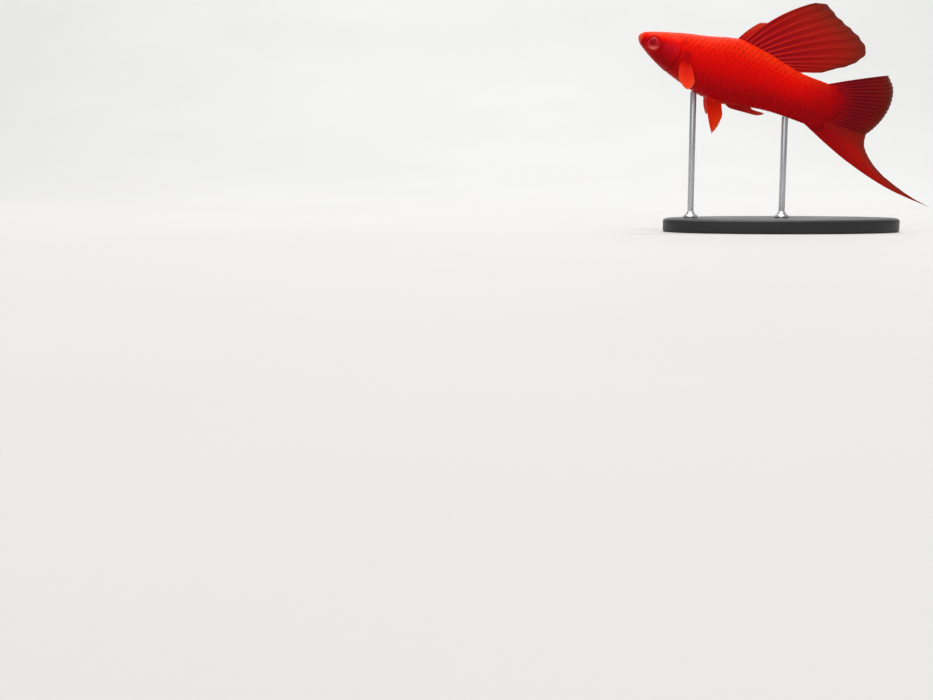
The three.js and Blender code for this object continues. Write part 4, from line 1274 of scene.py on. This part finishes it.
TAIL_PAD = (0.3, 1.0, TAIL_RAYS)  # length and thickness of the fleshy base, and the fin's rays
SWORD_PAD = (0.16, 0.9, SWORD_RAYS)
tail_flesh = fin_base_material("tail base", (0.22, 0.002, 0.006))
orange_flesh = fin_base_material("paired fin base", (0.72, 0.012, 0.004))
dress(pad_piece("tail_base", tail_fan, *TAIL_PAD), tail_flesh, "skin")
dress(pad_scales_piece("tail_base_scales", random, tail_fan, *TAIL_PAD, rows=11, pitch=0.055), scales, "skin")
dress(pad_piece("sword_base", sword, *SWORD_PAD, level=-0.7), tail_flesh, "skin")
for side in SIDES:
    for kind, (shape, rays, width, length, thickness) in PAIRED.items():
        pad = pad_piece(f"{kind}_base_{side}", shape(side), length, thickness, rays, -0.6, PAIRED_PLEAT)
        dress(pad, orange_flesh, "skin")

# Build the stand: a turned oval base, and rods with a ferrule at the foot and a pin into the fish

BASE_LOW, BASE_HIGH = (np.array(corner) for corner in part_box("stand_base"))
BASE_EDGE = 0.9 * MM
FERRULE = [  # radius and height above the base, in millimetres
    (1.1, -0.1), (2.1, -0.1), (2.15, 0.3), (2.0, 0.7), (1.4, 1.0), (1.12, 1.6), (0.98, 1.8), (0.92, 1.8),
]
PIN = [(0.3, -2.0), (0.42, -2.0), (0.42, 1.2), (0.2, 1.6)]  # radius and height above the rod's tip


def lathe_piece(name, profile, centre, scale=(1, 1), edge=None, sides=128):
    """A closed turned piece from (radius, height) points, stretched into an oval by scale."""
    radius, height = np.array(profile).T
    r, a = np.meshgrid(radius, full_turn(sides), indexing="ij")
    rings = stack(centre[0] + r * np.cos(a) * scale[0], centre[1] + r * np.sin(a) * scale[1], height[:, None])
    edge_tone = np.zeros(len(radius)) if edge is None else np.array(edge)
    points, quads, caps = tube(rings, [[*centre[:2], height[0]], [*centre[:2], height[-1]]])
    return mesh_piece(name, points, quads, caps, {"edge": np.append(np.repeat(edge_tone, sides), [0, 0])})


def base_piece():
    size = BASE_HIGH - BASE_LOW
    inset = 2 * BASE_EDGE / size[1]
    foot = 0.25 * inset
    round_top = [radians(a) for a in np.linspace(0, 90, 12)]
    profile = [(0.5, 0.0), (1 - foot, 0.0), (1 - 0.3 * foot, 0.06 * size[2]), (1, 0.14 * size[2])]
    profile += [(1 - inset * (1 - math.cos(a)), size[2] - BASE_EDGE * (1 - math.sin(a))) for a in round_top]
    profile += [(share * (1 - inset), size[2]) for share in (0.985, 0.9, 0.6, 0.3)]
    edge = [0, 0, 0.3, 0] + [math.sin(2 * a) for a in round_top] + [0, 0, 0, 0]
    return lathe_piece("stand_base_turned", profile, (BASE_HIGH + BASE_LOW) / 2, size[:2] / 2, edge)


def above(level, profile):
    return [(radius * MM, level + height * MM) for radius, height in profile]


steel = steel_material()
dress(base_piece(), base_material(), "base", "stand_base")
for place in ("front", "rear"):
    low, high = (np.array(corner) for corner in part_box(f"stand_rod_{place}"))
    axis, radius = (low + high) / 2, (high[0] - low[0]) / 2
    chamfer = np.radians([0, 25, 50, 70, 82])
    rod = [(0.5 * radius, low[2]), (radius, low[2]), (radius, low[2] + MM), (radius, axis[2])]
    rod += [(radius * math.cos(a), high[2] - radius * (0.35 - 0.35 * math.sin(a))) for a in chamfer]
    dress(lathe_piece(f"stand_rod_{place}_turned", rod, axis, sides=64), steel, "rod", f"stand_rod_{place}")
    ferrule = above(BASE_HIGH[2], FERRULE)
    dress(lathe_piece(f"stand_ferrule_{place}", ferrule, axis, sides=64), steel, "rod")
    dress(lathe_piece(f"stand_pin_{place}", above(high[2], PIN), axis, sides=32), steel, "rod")


# Studio: a curved pale floor, soft light from above and the photograph's viewing angle


def backdrop_piece():
    half_width, front, bend_start, bend, wall = 3.0, -2.0, 0.5, 1.5, 3.0
    turn = np.linspace(0, pi / 2, 24)
    y = join([[front], bend_start + bend * np.sin(turn), [bend_start + bend]])
    z = join([[0], bend * (1 - np.cos(turn)), [bend + wall]])
    points = stack(np.array([-half_width, half_width]), y[:, None], z[:, None])
    return mesh_piece("backdrop", points.reshape(-1, 3), grid_quads(len(y), 2))


floor = backdrop_piece()
floor.data.materials.append(floor_material())


def area_light(name, place, target, size, power, colour=(1, 1, 1)):
    light = bpy.data.lights.new(name, "AREA")
    light.shape = "RECTANGLE"
    light.size, light.size_y = size
    light.energy = power
    light.color = colour
    lamp = bpy.data.objects.new(name, light)
    lamp.location = place
    lamp.rotation_euler = (Vector(target) - Vector(place)).to_track_quat("-Z", "Y").to_euler()
    bpy.context.scene.collection.objects.link(lamp)


CAMERA_PLACE = (-0.0909, -0.3617, 0.0162)
CAMERA_TILT = 8  # degrees down from the level
middle = (0, 0, 0.04)
area_light("key", (-0.15, -0.3, 1.3), middle, (0.9, 0.7), 16.0, (1, 0.97, 0.93))
area_light("front fill", (-0.4, -1.0, 0.45), middle, (1.0, 0.6), 1.6)
area_light("rim", (0.3, 0.6, 0.7), middle, (0.6, 0.4), 1.2)
area_light("backdrop light", (0, 0.6, 2.2), (0, 2.1, 0.9), (2.0, 0.6), 60.0)

world = bpy.data.worlds.new("studio")
world.use_nodes = True
sky = world.node_tree.nodes["Background"].inputs
sky["Color"].default_value = (0.93, 0.95, 1, 1)
sky["Strength"].default_value = 0.35
bpy.context.scene.world = world
bpy.context.scene.view_settings.view_transform = "Standard"

camera_data = bpy.data.cameras.new("camera")
camera_data.lens = 48
camera_data.sensor_width = 36
camera_data.clip_start = 0.01
camera_data.clip_end = 20
camera = bpy.data.objects.new("camera", camera_data)
camera.location = CAMERA_PLACE
camera.rotation_euler = (radians(90 - CAMERA_TILT), 0, 0)
bpy.context.scene.collection.objects.link(camera)
bpy.context.scene.camera = camera
